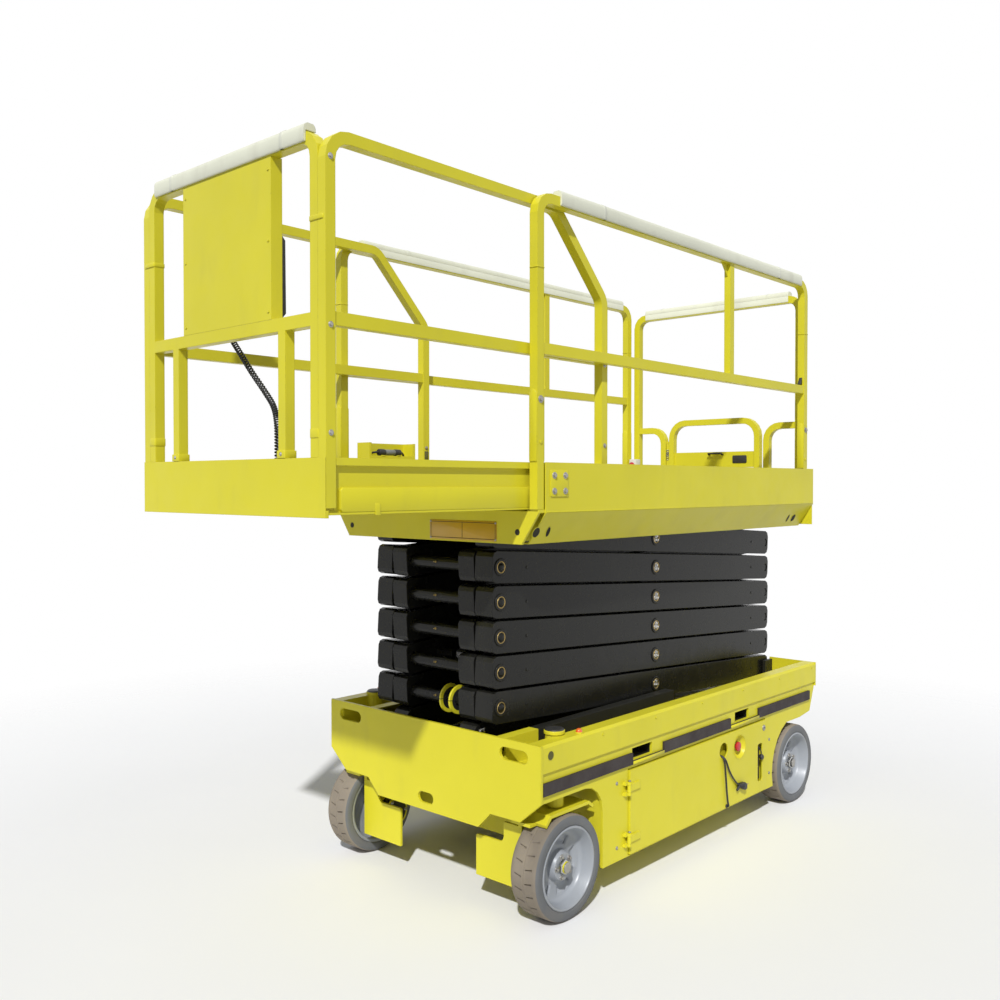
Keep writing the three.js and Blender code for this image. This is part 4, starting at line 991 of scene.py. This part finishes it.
@dataclass
class Stack(Assembly):
    """The scissor stack: pin heads, bosses, nipples, collars and the ram's fittings."""

    levels: int = 6
    low_pin: float = 618.0
    pitch: float = 131.0
    length: float = 2088.0
    front_pin: float = 1026.0
    ram_foot: Place = (-1.35617, 0.0, 0.739966)
    ram_slope: float = math.atan2(0.082695, 0.996575)

    def pin_head(self, cluster: bool) -> Piece:
        """Models a pin's end: a ring, a dished face and its bolt or bolts."""
        ring = origin.spun(Axis.Y, (0, 0, 0), [(22, 0), (33, 0), (33, 2), (31, 4), (25, 4.6), (22, 3)], ARM_PAINT, 36)
        band = origin.spun(Axis.Y, (0, 0, 0), [(19, 0), (22.3, 0), (22.3, 4.4), (21, 5.2), (19, 4)], BRASS, 36)
        face = origin.spun(Axis.Y, (0, 0, 0), [(0.4, 0), (19.2, 0), (19.2, 2.4), (14, 2.4), (14, 6), (11, 9), (6, 10.4),
                                               (0.4, 10.8)] if not cluster else
                           [(0.4, 0), (19.2, 0), (19.2, 2.4), (0.4, 1.8)], ARM_PAINT, 30)
        places = [(-9, 1, -6), (9, 1, -6), (0, 1, 10)]
        bolts = origin.bolts(Axis.Y, places, 6, 7, STEEL) if cluster else []
        return origin.joined("pin_head", [ring, band, face, *bolts])

    @staticmethod
    def both_faces(base: Matrix, spots: Points, face: float) -> list[Matrix]:
        """Gives places on both faces of a pair of arms.

        Args:
            base: The middle of the arms, turned with them.
            spots: Along and across the arms, from the middle.
            face: How far the faces are from the machine's middle.

        Returns:
            The places, each one's Y pointing outwards.
        """
        return [base @ Matrix.Translation((x / 1000, way * face / 1000, z / 1000)) @ Matrix.Scale(way, 4, (0, 1, 0))
                for x, z in spots for way in (1, -1)]

    def build(self) -> None:
        """Makes the fittings of all frames."""
        fold = math.asin(self.pitch / self.length)
        middle_x = self.front_pin - self.length * math.cos(fold) / 2
        half = self.length / 2
        single, cluster = self.pin_head(False), self.pin_head(True)
        nipple = origin.joined("nipple", [
            origin.spun(Axis.Z, (0, 0, 0), [(0.3, 0), (4.5, 0), (4.5, 3), (2.6, 4), (2.6, 9), (1.5, 11), (0.3, 11)],
                        BRASS, 12)])
        bar = origin.block(-16, 16, 0, 3, -9, 9, STEEL, 1)
        screws = origin.bolts(Axis.Y, [(-9, 3, 0), (9, 3, 0)], 3.6, 3.5, ZINC)
        retainer = origin.joined("retainer", [bar, *screws])
        for level in range(1, self.levels + 1):
            middle = (middle_x, self.low_pin + self.pitch / 2 + (level - 1) * self.pitch)
            for kind, tilt, face in (("outer", fold, 320.2), ("inner", -fold, 225.2)):
                name = f"{kind}_frame_{level}"
                self.dress(ARM_PAINT, name)
                base = Matrix.Translation(bench.point(middle[0], 0, middle[1])) @ Matrix.Rotation(-tilt, 4, "Y")
                if kind == "outer":
                    parts = [bench.copied(single, place) for place in self.both_faces(base, [(half, 0)], face)]
                    parts += [bench.copied(cluster, place) for place in self.both_faces(base, [(0, 0)], face)]
                    grease = base @ Matrix.Translation((half / 1000 + 0.0242, 0, 0.004)) @ Matrix.Rotation(1.57, 4, "Y")
                    parts.append(bench.copied(nipple, grease))
                    if level == 1:
                        parts += self.collars(base, half)
                    parts += self.plugs(self.both_faces(base, [(half - 150, 0), (-half + 150, 0)], face))
                else:
                    parts = [bench.copied(retainer, place) for place in self.both_faces(base, [(half, 30)], face)]
                    if level > 1:
                        parts.append(bench.copied(nipple, base @ Matrix.Translation((-half / 1000 - 0.0195, 0, 0.0))
                                                  @ Matrix.Rotation(-1.57, 4, "Y")))
                self.keep(f"{name}_fittings", parts, name, "arm_grey")
        for master in (single, cluster, nipple, retainer):
            bpy.data.objects.remove(master)
        self.ram()

    @staticmethod
    def plugs(places: list[Matrix]) -> Parts:
        """Models small plug screws at places."""
        return bench.scattered(origin.spun(Axis.Y, (0, 0, 0), [(0.3, 0), (6, 0), (6, 1), (4.5, 2), (0.3, 2)],
                                           ARM_PAINT, 16), places)

    def collars(self, base: Matrix, half: float) -> Parts:
        """Models the two split collars on the lowest front tube."""
        parts = []
        for y in (55, 105):
            ring = origin.spun(Axis.Y, (0, 0, 0), [(42, -4), (56, -4), (56, 4), (42, 4)], PAINT, 48)
            bore = origin.spun(Axis.Y, (0, 0, 0), [(25.4, -3), (42.5, -3), (42.5, 3), (25.4, 3)], BLACK_PAINT, 40)
            gap = origin.block(-57, 57, -4.4, 4.4, -1.2, 1.2, BLACK_PAINT, 0.2)
            place = base @ Matrix.Translation((half / 1000, y / 1000, 0))
            parts += bench.scattered(origin.joined("collar", [ring, bore, gap]), [place])
        return parts

    def ram(self) -> None:
        """Makes the ram's gland, ports and hoses."""
        self.dress(BLACK_PAINT, "lift_barrel")
        turn = Matrix.Translation(self.ram_foot) @ Matrix.Rotation(-self.ram_slope, 4, "Y")
        gland = origin.spun(Axis.X, (1150, 0, 0), [(25, 0), (46, 0), (46, 26), (43, 30), (25, 30)], BLACK_PAINT, 36)
        rear = origin.spun(Axis.X, (72, 0, 0), [(30, 0), (46, 0), (46, 14), (42.4, 18), (30, 18)], BLACK_PAINT, 36)
        ports = origin.bolts(Axis.Z, [(110, 0, 42), (1120, 0, 42)], 9, 16, ZINC)
        pipe = origin.hose([(110, 0, 58), (130, 4, 64), (300, 8, 52), (700, 8, 50), (1060, 8, 52), (1110, 4, 60),
                            (1120, 0, 58)], 5, BLACK_PAINT)
        made = bench.scattered(origin.joined("ram", [gland, rear, *ports, pipe]), [turn])
        self.keep("ram_fittings", made, "lift_barrel", "black")


# ------------------------------------------------------------------ platform


@dataclass
class Platform(Assembly):
    """The main deck: floor plate, brackets, pins, gate, foam and small parts."""

    skin: float = 562.0
    rail_in: float = 521.0
    rail_out: float = 557.0

    def foam(self, name: str, body: str, node: str, axis: Axis, inner: float, outer: float, top: float, start: float,
             end: float, wrapped: bool = True) -> None:
        """Args:
            name: The piece's name.
            body: What it rides on.
            node: The CAD node it stands for.
            axis: The way it runs.
            inner: The rail's inner face.
            outer: The rail's outer face.
            top: The rail's top.
            start: Where it begins.
            end: Where it ends.
            wrapped: Whether it goes down both sides of the rail.
        """
        way = 1 if outer > inner else -1
        low, high, face, middle = top - 32, top + 26, outer + way * 9, (inner + outer) / 2
        half = [(outer + way * 0.4, top + 0.3), (outer + way * 0.4, low), (outer + way * 6, low), (face, low + 5),
                (face, top + 6), (face - way * 2, top + 15), (face - way * 7, top + 21), (face - way * 15, high - 0.6)]
        cover = [(inner, top + 0.3), *half, (inner + way * 9, high - 1.5), (inner + way * 3, high - 7),
                 (inner + way * 0.4, high - 15)]
        profile = half + [(inner + way * 8, high - 1.5), (inner + way * 2, high - 7), (inner - way * 0.9, top + 8),
                          (inner - way * 0.9, low), (inner - way * 0.2, low), (inner - way * 0.2, top + 0.3)]
        profile = profile if wrapped else cover
        runs = int((end - start) / 28)
        sleeve = deck.plate(axis, profile, start, end, FOAM, 0.0, runs)
        for vertex in sleeve.data.vertices:
            puff = noise.noise(vertex.co * 7.0) * 0.0011 + noise.noise(vertex.co * 31.0) * 0.0004
            if vertex.co.z > (top + 2 + DECK) / 1000:
                vertex.co.z += puff - 0.0012
        cuffs = []
        for place in (start + 0.12 * (end - start), end - 0.14 * (end - start)):
            band = [(a + (math.copysign(0.9, a - middle) if abs(a - middle) > 20 else 0),
                     b + (0.9 if b > top + 10 else 0)) for a, b in cover]
            cuffs.append(deck.plate(axis, band, place, place + 14, TAPE, 0.3))
        obj = self.keep(name, [sleeve, *cuffs], body, "foam_cream", (node,))

    def rail_brackets(self) -> Parts:
        """Models the fold brackets, pivots and sleeves on the left guardrail's posts."""
        parts = []
        for x, pivot in ((1078, 400), (-1025, 376)):
            low, high = 182, pivot + 34
            for side in (-1, 1):
                outline = [(522, low), (556, low), (556, high - 14), (546, high), (532, high), (522, high - 14)]
                parts.append(deck.plate(Axis.X, outline, x + side * 18.2, x + side * 22.2, PAINT, 0.6))
            parts += deck.bolts(Axis.Y, [(x, self.rail_out, pivot)], 9, 8, ZINC)
            parts.append(deck.spun(Axis.Y, (x, self.rail_out, pivot - 150), [(0.4, 0), (7, 0), (7, 3),
                                                                             (0.4, 4)], PAINT, 20))
            cuff = rounded_box(x - 20.5, x + 20.5, 520.0, 559.0, 4)
            parts.append(deck.plate(Axis.Z, cuff, 860, 864, PAINT, 0.5))
        gusset = [(-276 + 18, 1093), (-276 + 70, 1093), (-276 + 18, 1034)]
        parts.append(deck.plate(Axis.Y, gusset, 536, 541, PAINT, 0.5))
        return parts

    def deck_details(self) -> Parts:
        """Models the bolts, the holes as rims round flat discs of painted shade, and the plates on the deck's left
        side.
        """
        parts = [deck.plate(Axis.Y, rounded_box(930, 1032, 57, 153, 6), self.skin + 0.2, self.skin + 4, PAINT, 0.6)]
        parts += deck.bolts(Axis.Y, [(x, self.skin + 4, z) for x in (950, 1012) for z in (77, 133)], 8, 7, ZINC)
        for x, radius, squash in ((1051, 19, 1.0), (984, 19, 0.55), (-920, 19, 0.55), (-980, 19, 1.0)):
            ring = origin.spun(Axis.Y, (0, 0, 0), [(radius - 1, 0), (radius + 1.5, 0), (radius + 1.5, 0.9),
                                                   (radius - 1, 1.4)], PAINT, 28)
            # The hole's inside is a flat disc of painted shade.
            dark = origin.spun(Axis.Y, (0, 0, 0), [(0.3, 0), (radius - 0.9, 0), (radius - 0.9, 1.1), (0.3, 1.0)],
                               PRINT_AND_PAINTED_SHADE, 28)
            hole = origin.joined("hole", [ring, dark])
            for vertex in hole.data.vertices:
                vertex.co.x = vertex.co.x * squash + 0.35 * vertex.co.z
                vertex.co.y += 0.708 * vertex.co.z
            parts += deck.scattered(hole, [Matrix.Translation(deck.point(x, 512.6, -71))])
        lip = deck.block(-1100, 1050, self.skin - 0.2, self.skin + 1.8, 1, 5, PAINT, 0.6)
        return [*parts, lip]

    def nose(self) -> Parts:
        """Models the blank plate with its printed lines, and the holes on the deck's front as flat discs of painted
        shade.
        """
        face = 1090.2
        frame_plate = deck.plate(Axis.X, rounded_box(10, 360, -108, -34, 6), face, face + 1.2, DECAL, 0.4)
        lines = ((16, 18, -102, -40), (352, 354, -102, -40), (184, 186, -102, -40), (16, 354, -42, -40),
                 (16, 354, -102, -100))
        fields = [deck.plate(Axis.X, rounded_box(*line, 1), face + 1.2, face + 1.7, PRINT_AND_PAINTED_SHADE, 0.1) for line in lines]
        rivets = deck.bolts(Axis.X, [(face + 1, y, z) for y in (16, 354) for z in (-102, -40)], 3, 3, ZINC)
        # The two holes are flat discs of painted shade.
        holes = [deck.spun(Axis.X, (face, y, z), [(0.3, 0), (11, 0), (11, 0.8), (0.3, 0.6)], PRINT_AND_PAINTED_SHADE, 20)
                 for y, z in ((-459, -70), (459, -70))]
        return [frame_plate, *fields, *rivets, *holes]

    def gate(self) -> Parts:
        """Models the entry gate's latch, two screws, spring hinge and handle."""
        window = deck.plate(Axis.X, rounded_box(118, 202, 214, 256, 6), -1094, -1072, PLASTIC, 1)
        screw = deck.bolts(Axis.X, [(-1091, y, 235) for y in (90, -200)], 5, 5, ZINC, -1)
        coils = []
        for i in range(66):
            turn = i / 6 * math.pi
            coils.append((-1075 + 9.5 * math.cos(turn), -293 + 9.5 * math.sin(turn), 238 + i * 0.9))
        spring = deck.hose(coils, 2.0, ZINC)
        handle = deck.hose([(-1072, 60, 262), (-1060, 60, 262), (-1054, 60, 268), (-1054, 20, 268), (-1054, -20, 268),
                            (-1060, -20, 262), (-1072, -20, 262)], 5, BLACK_PAINT)
        return [window, *screw, spring, handle]

    def rear_bits(self) -> Parts:
        """Models the black gusset, the hook-up box and the rear posts' bolts."""
        gusset = deck.plate(Axis.Y, [(-1040, 606), (-985, 606), (-1024, 668), (-1040, 668)], 530, 546, BLACK_PAINT, 0.8)
        socket = deck.block(-1062, -1014, -516, -470, 180, 244, WHITE_PLASTIC, 4)
        lid = deck.rod(Axis.X, (-1008, -493, 212), 15, 12, STOP_RED, 2)
        bolts = deck.bolts(Axis.X, [(-1101, s * 498, z) for s in (-1, 1) for z in (150, 640)], 7, 6, ZINC, -1)
        return [gusset, socket, lid, *bolts]

    def build(self) -> None:
        """Makes the platform's pieces."""
        self.dress(PAINT, "platform_deck", "guardrail_left", "guardrail_right", "rear_rail", "entry_gate",
                   "extension_deck", "extension_side_rail_left", "extension_side_rail_right", "extension_front_rail",
                   "front_panel", "cable_tray")
        floor = deck.block(-1098, 1086, -490, 490, 6.2, 8.2, FLOOR_PAINT, 0.6)
        self.keep("deck_floor_plate", [floor], "platform", "yellow")
        details = self.deck_details()
        self.keep("deck_details_right", deck.mirrored(details), "platform", "yellow")
        self.keep("deck_details_left", details, "platform", "yellow")
        brackets = self.rail_brackets()
        self.keep("rail_brackets_right", deck.mirrored(brackets), "platform", "yellow")
        self.keep("rail_brackets_left", brackets, "platform", "yellow")
        self.keep("deck_nose_plate", self.nose(), "platform", "yellow")
        self.keep("gate_fittings", self.gate(), "entry_gate", "yellow")
        self.keep("rear_rail_fittings", self.rear_bits(), "platform", "black")
        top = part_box("guardrail_left")[1].z * 1000 - DECK
        front_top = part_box("extension_front_rail")[1].z * 1000 - DECK
        self.foam("side_sleeve_left", "platform", "side_foam_left", Axis.X, self.rail_in, self.rail_out, top, -960, 970)
        self.foam("side_sleeve_right", "platform", "side_foam_right", Axis.X, -self.rail_in, -self.rail_out, top,
                  -960, 970)
        self.foam("rear_sleeve", "platform", "rear_foam", Axis.Y, -1065, -1101, 1076, -440, 440)
        self.foam("front_sleeve", "extension", "front_foam", Axis.Y, 1949, 1985, front_top, -425, 425, False)


# ------------------------------------------------------------------ extension


@dataclass
class Extension(Assembly):
    """The roll-out deck: floor, control box, tray, panel and rail fittings."""

    half: float = 515.0
    box_side: float = -50.0

    def control_box(self) -> Parts:
        """Models the control box: a sloped case, stick, stop, switches and hooks."""
        outline = [(1815, 662), (1827, 650), (1927, 650), (1935, 658), (1935, 952), (1927, 960), (1885, 960),
                   (1873, 957), (1818, 896), (1815, 888)]
        case = deck.plate(Axis.Y, outline, -126, 126, GREY_PLASTIC, 5)
        cheek = [(1808, 660), (1822, 644), (1935, 644), (1935, 964), (1882, 964), (1866, 960), (1810, 898)]
        cheeks = [deck.plate(Axis.Y, cheek, a, a + 5, PLASTIC, 1.5) for a in (-131, 126)]
        slope = math.atan2(61, 55)
        middle = deck.point(1844, 0, 928)
        turn = Matrix.Translation(middle) @ Matrix.Rotation(-slope, 4, "Y")
        base = origin.spun(Axis.Z, (0, 38, 0), [(0.4, 0), (34, 0), (32, 5), (26, 10), (22, 18), (16, 22), (11, 30),
                                                (8, 31), (0.4, 31)], PLASTIC, 30)
        grip = origin.spun(Axis.Z, (0, 38, 0), [(0.4, 28), (7, 28), (8, 46), (14, 56), (16, 74), (14, 92), (9, 100),
                                                (0.4, 102)], PLASTIC, 28)
        stop = origin.spun(Axis.Z, (0, -70, 0), [(0.4, 0), (21, 0), (21, 3), (12, 4), (12, 10), (20, 12), (21, 18),
                                                 (15, 22), (0.4, 23)], STOP_RED, 32)
        keys = [origin.block(-9, 9, y - 8, y + 8, 0, 6, finish, 2)
                for y, finish in ((-28, ZINC), (-6, PAINT), (92, WHITE_PLASTIC))]
        made = deck.scattered(origin.joined("controls", [base, grip, stop, *keys]), [turn])
        hook = [(1932, 900), (1942, 900), (1942, 930), (1981, 930), (1981, 936), (1932, 936)]
        hooks = [deck.plate(Axis.Y, hook, y, y + 26, BLACK_PAINT, 1) for y in (-118, 92)]
        screws = deck.bolts(Axis.X, [(1815, y, h) for y in (-108, 108) for h in (680, 870)], 4, 3, ZINC, -1)
        door = deck.plate(Axis.X, rounded_box(-60, 60, 700, 850, 8), 1811, 1815, PLASTIC, 1)
        gland = deck.spun(Axis.Z, (1872, -165, 630), [(7, 0), (10, 0), (13, 12), (13, 20), (7, 20)], PLASTIC, 24)
        parts = [case, *cheeks, *made, *hooks, *screws, door]
        for part in parts:
            part.data.transform(Matrix.Translation((0, self.box_side / 1000, 0)))
        return [*parts, gland]

    def tray_works(self) -> Parts:
        """Models the cable and the inline connector lying in the tray."""
        z = 236
        path = smooth_path([(1046, -440, z - 30), (1034, -432, z - 18), (1020, -418, z - 4), (1004, -410, z),
                            (988, -409, z)], 30)
        cable = deck.hose(path, 4.5, PLASTIC)
        path = smooth_path([(868, -409, z), (850, -412, z - 3), (830, -424, z - 22), (812, -440, z - 44)], 24)
        lead = deck.hose(path, 4.5, PLASTIC)
        body = deck.rod(Axis.X, (928, -409, z), 12.5, 56, GREY_PLASTIC, 2, 20)
        collars = [deck.rod(Axis.X, (x, -409, z), 14.5, 34, PLASTIC, 3, 20) for x in (884, 972)]
        saddles = [deck.block(x - 9, x + 9, -424, -393, z - 16, z - 12, PAINT, 0.8) for x in (884, 972)]
        return [cable, lead, body, *collars, *saddles]

    def rail_fittings(self) -> Parts:
        """Models sleeves, bolts and socket flanges on the extension's posts."""
        parts = []
        for y in (303, -303):
            parts.append(deck.plate(Axis.Z, rounded_box(1946, 1990, y - 21, y + 21, 3), 179.6, 203, PAINT, 0.8))
            parts += deck.bolts(Axis.X, [(1990, y, 192)], 4, 3, ZINC)
        for way in (1, -1):
            cuff = sorted((way * 441, way * 481))
            parts.append(deck.plate(Axis.Z, rounded_box(1946.5, 1987, *cuff, 3), 236, 262, PAINT, 0.8))
            parts += deck.bolts(Axis.Y, [(1967, way * self.half, z) for z in (250, 560, 1040)], 6, 6, ZINC, way)
            parts += deck.bolts(Axis.Y, [(642, way * self.half, z) for z in (250, 560)], 6, 6, ZINC, way)
            guide = [(604, 18), (1922, 20), (1930, 28), (1930, 84), (1922, 92), (604, 92)]
            parts.append(deck.plate(Axis.Y, guide, *sorted((way * 502.2, way * 513.5)), PAINT, 2.0))
            tab = rounded_box(1780, 1800, 8.6, 44, 3)
            parts.append(deck.plate(Axis.Y, tab, *sorted((way * 512.7, way * 515)), PAINT, 0.4))
            clamp = rounded_box(1945.5, 1988.5, *sorted((way * 441, way * 506)), 5)
            parts.append(deck.plate(Axis.Z, clamp, 862, 876, PAINT, 1.0))
            parts += deck.bolts(Axis.Y, [(1967, way * 506, 869)], 5, 5, ZINC, way)
        # Post recesses: thin plates painted with the recess's shade, each with a bolt above.
        for x, y, high in ((1967, -479, 372), (642, -479, 250)):
            recess = rounded_box(x - 12, x + 12, 184, high, 3)
            parts.append(deck.plate(Axis.Y, recess, y, y + 0.8, PAINTED_RECESS_SHADE, 0.2))
            parts += deck.bolts(Axis.Y, [(x, y, high + 14)], 6, 5, ZINC)
        box = deck.block(1900, 1944, -300, -254, 950, 1020, PAINT, 2)
        tie = deck.hose([(1949, 497, 690), (1945, 480, 700), (1949, 470, 690)], 2, WHITE_PLASTIC)
        return [*parts, box, tie]

    def panel_edges(self) -> Parts:
        """Models the stiffening ribs and rivets on the back of the front panel."""
        ribs = [deck.plate(Axis.Z, [(1944, y), (1982, y), (1982, y + 3), (1944, y + 3)], 604, 1076, PAINT, 0.5)
                for y in (-249.5, 246.5)]
        flanges = [deck.block(1960, 1982, -246, 246, z, z + 3, PAINT, 0.5) for z in (603, 1074)]
        rivets = deck.bolts(Axis.X, [(1985, y, z) for y in (-236, 236) for z in (625, 840, 1055)], 3.5, 2.5, PAINT)
        return [*ribs, *flanges, *rivets]

    def build(self) -> None:
        """Makes the extension's pieces."""
        floor = deck.block(602, 1974, -498, 498, 26.2, 28.2, FLOOR_PAINT, 0.6)
        self.keep("extension_floor_plate", [floor], "extension", "yellow")
        self.keep("control_box_detail", self.control_box(), "extension", "plastic_black", ("control_box",))
        self.keep("tray_connector", self.tray_works(), "extension", "plastic_black")
        self.keep("extension_fittings", self.rail_fittings(), "extension", "yellow")
        self.keep("panel_fittings", self.panel_edges(), "extension", "yellow")
        CurlyCord().build()


# ------------------------------------------------------------------ studio


@dataclass
class Studio:
    """Camera, lights, world and floor."""

    eye: Place = (3.3051, 2.7767, 1.5838)
    yaw: float = 222.105
    pitch: float = -0.9545
    lens: float = 35.58
    sun: Place = (0.61, 0.41, 0.68)
    power: float = 3.15
    softness: float = 2.0

    def camera(self) -> None:
        """Sets the camera."""
        data = bpy.data.cameras.new("camera")
        data.lens = self.lens
        data.sensor_width = 36
        obj = bpy.data.objects.new("camera", data)
        yaw, pitch = math.radians(self.yaw), math.radians(self.pitch)
        way = Vector((math.cos(yaw) * math.cos(pitch), math.sin(yaw) * math.cos(pitch), math.sin(pitch)))
        obj.location = self.eye
        obj.rotation_euler = way.to_track_quat("-Z", "Y").to_euler()
        bpy.context.scene.collection.objects.link(obj)
        bpy.context.scene.camera = obj

    def lamp(self) -> None:
        """Adds the sun."""
        data = bpy.data.lights.new("key", "SUN")
        data.energy = self.power
        data.angle = math.radians(self.softness)
        obj = bpy.data.objects.new("key", data)
        direction = Vector(self.sun).normalized()
        obj.location = direction * 6 + Vector((0, 0, 1))
        obj.rotation_euler = direction.to_track_quat("Z", "Y").to_euler()
        bpy.context.scene.collection.objects.link(obj)

    def world(self) -> None:
        """Makes a plain world that shows white and lights softly."""
        world = bpy.data.worlds.new("studio")
        bpy.context.scene.world = world
        world.use_nodes = True
        tree = world.node_tree
        tree.nodes.clear()
        soft, white = (tree.nodes.new("ShaderNodeBackground") for _ in range(2))
        soft.inputs[0].default_value = (0.95, 0.97, 1.0, 1)
        soft.inputs[1].default_value = 0.33
        white.inputs[0].default_value = (1, 1, 1, 1)
        path = tree.nodes.new("ShaderNodeLightPath")
        seen = path.outputs["Is Camera Ray"]
        for ray in ("Is Transmission Ray", "Is Glossy Ray"):
            either = tree.nodes.new("ShaderNodeMath")
            either.operation = "MAXIMUM"
            tree.links.new(seen, either.inputs[0])
            tree.links.new(path.outputs[ray], either.inputs[1])
            seen = either.outputs[0]
        mix = tree.nodes.new("ShaderNodeMixShader")
        for socket, value in zip(mix.inputs, (seen, soft.outputs[0], white.outputs[0])):
            tree.links.new(value, socket)
        tree.links.new(mix.outputs[0], tree.nodes.new("ShaderNodeOutputWorld").inputs[0])

    def floor(self) -> None:
        """Lays a plain pale floor."""
        bench.clear()
        bpy.ops.mesh.primitive_plane_add(size=60, location=(0, 0, -0.001))
        obj = bpy.context.object
        obj.name = "floor"
        sheet = NodeSheet("floor_paint")
        sheet.shader.inputs["Roughness"].default_value = 0.9
        sheet.shader.inputs["Specular IOR Level"].default_value = 0.1
        tint = sheet.blend(sheet.noise(0.8, 4.0), (0.86, 0.86, 0.86), (0.9, 0.9, 0.9))
        sheet.link(tint, sheet.shader.inputs["Base Color"])
        reach = sheet.add("ShaderNodeVectorMath", operation="LENGTH")
        sheet.link(sheet.place, reach.inputs[0])
        fade = sheet.span(reach.outputs["Value"], 2.2, 5.0, 1.0, 0.0)
        sheet.link(fade, sheet.shader.inputs["Alpha"])
        obj.data.materials.append(sheet.material)

    def build(self) -> None:
        """Sets the whole studio."""
        self.camera()
        self.lamp()
        self.world()
        self.floor()
        bpy.context.scene.view_settings.view_transform = "Standard"


def main() -> None:
    """Builds the studio and every sub-assembly."""
    logging.basicConfig(level=logging.INFO, format="%(name)s: %(message)s")
    Studio().build()
    for part in (Chassis(), Wheels(), Doors(), Stack(), Platform(), Extension()):
        log.info("building %s", type(part).__name__)
        part.build()


if __name__ == "__main__":
    main()
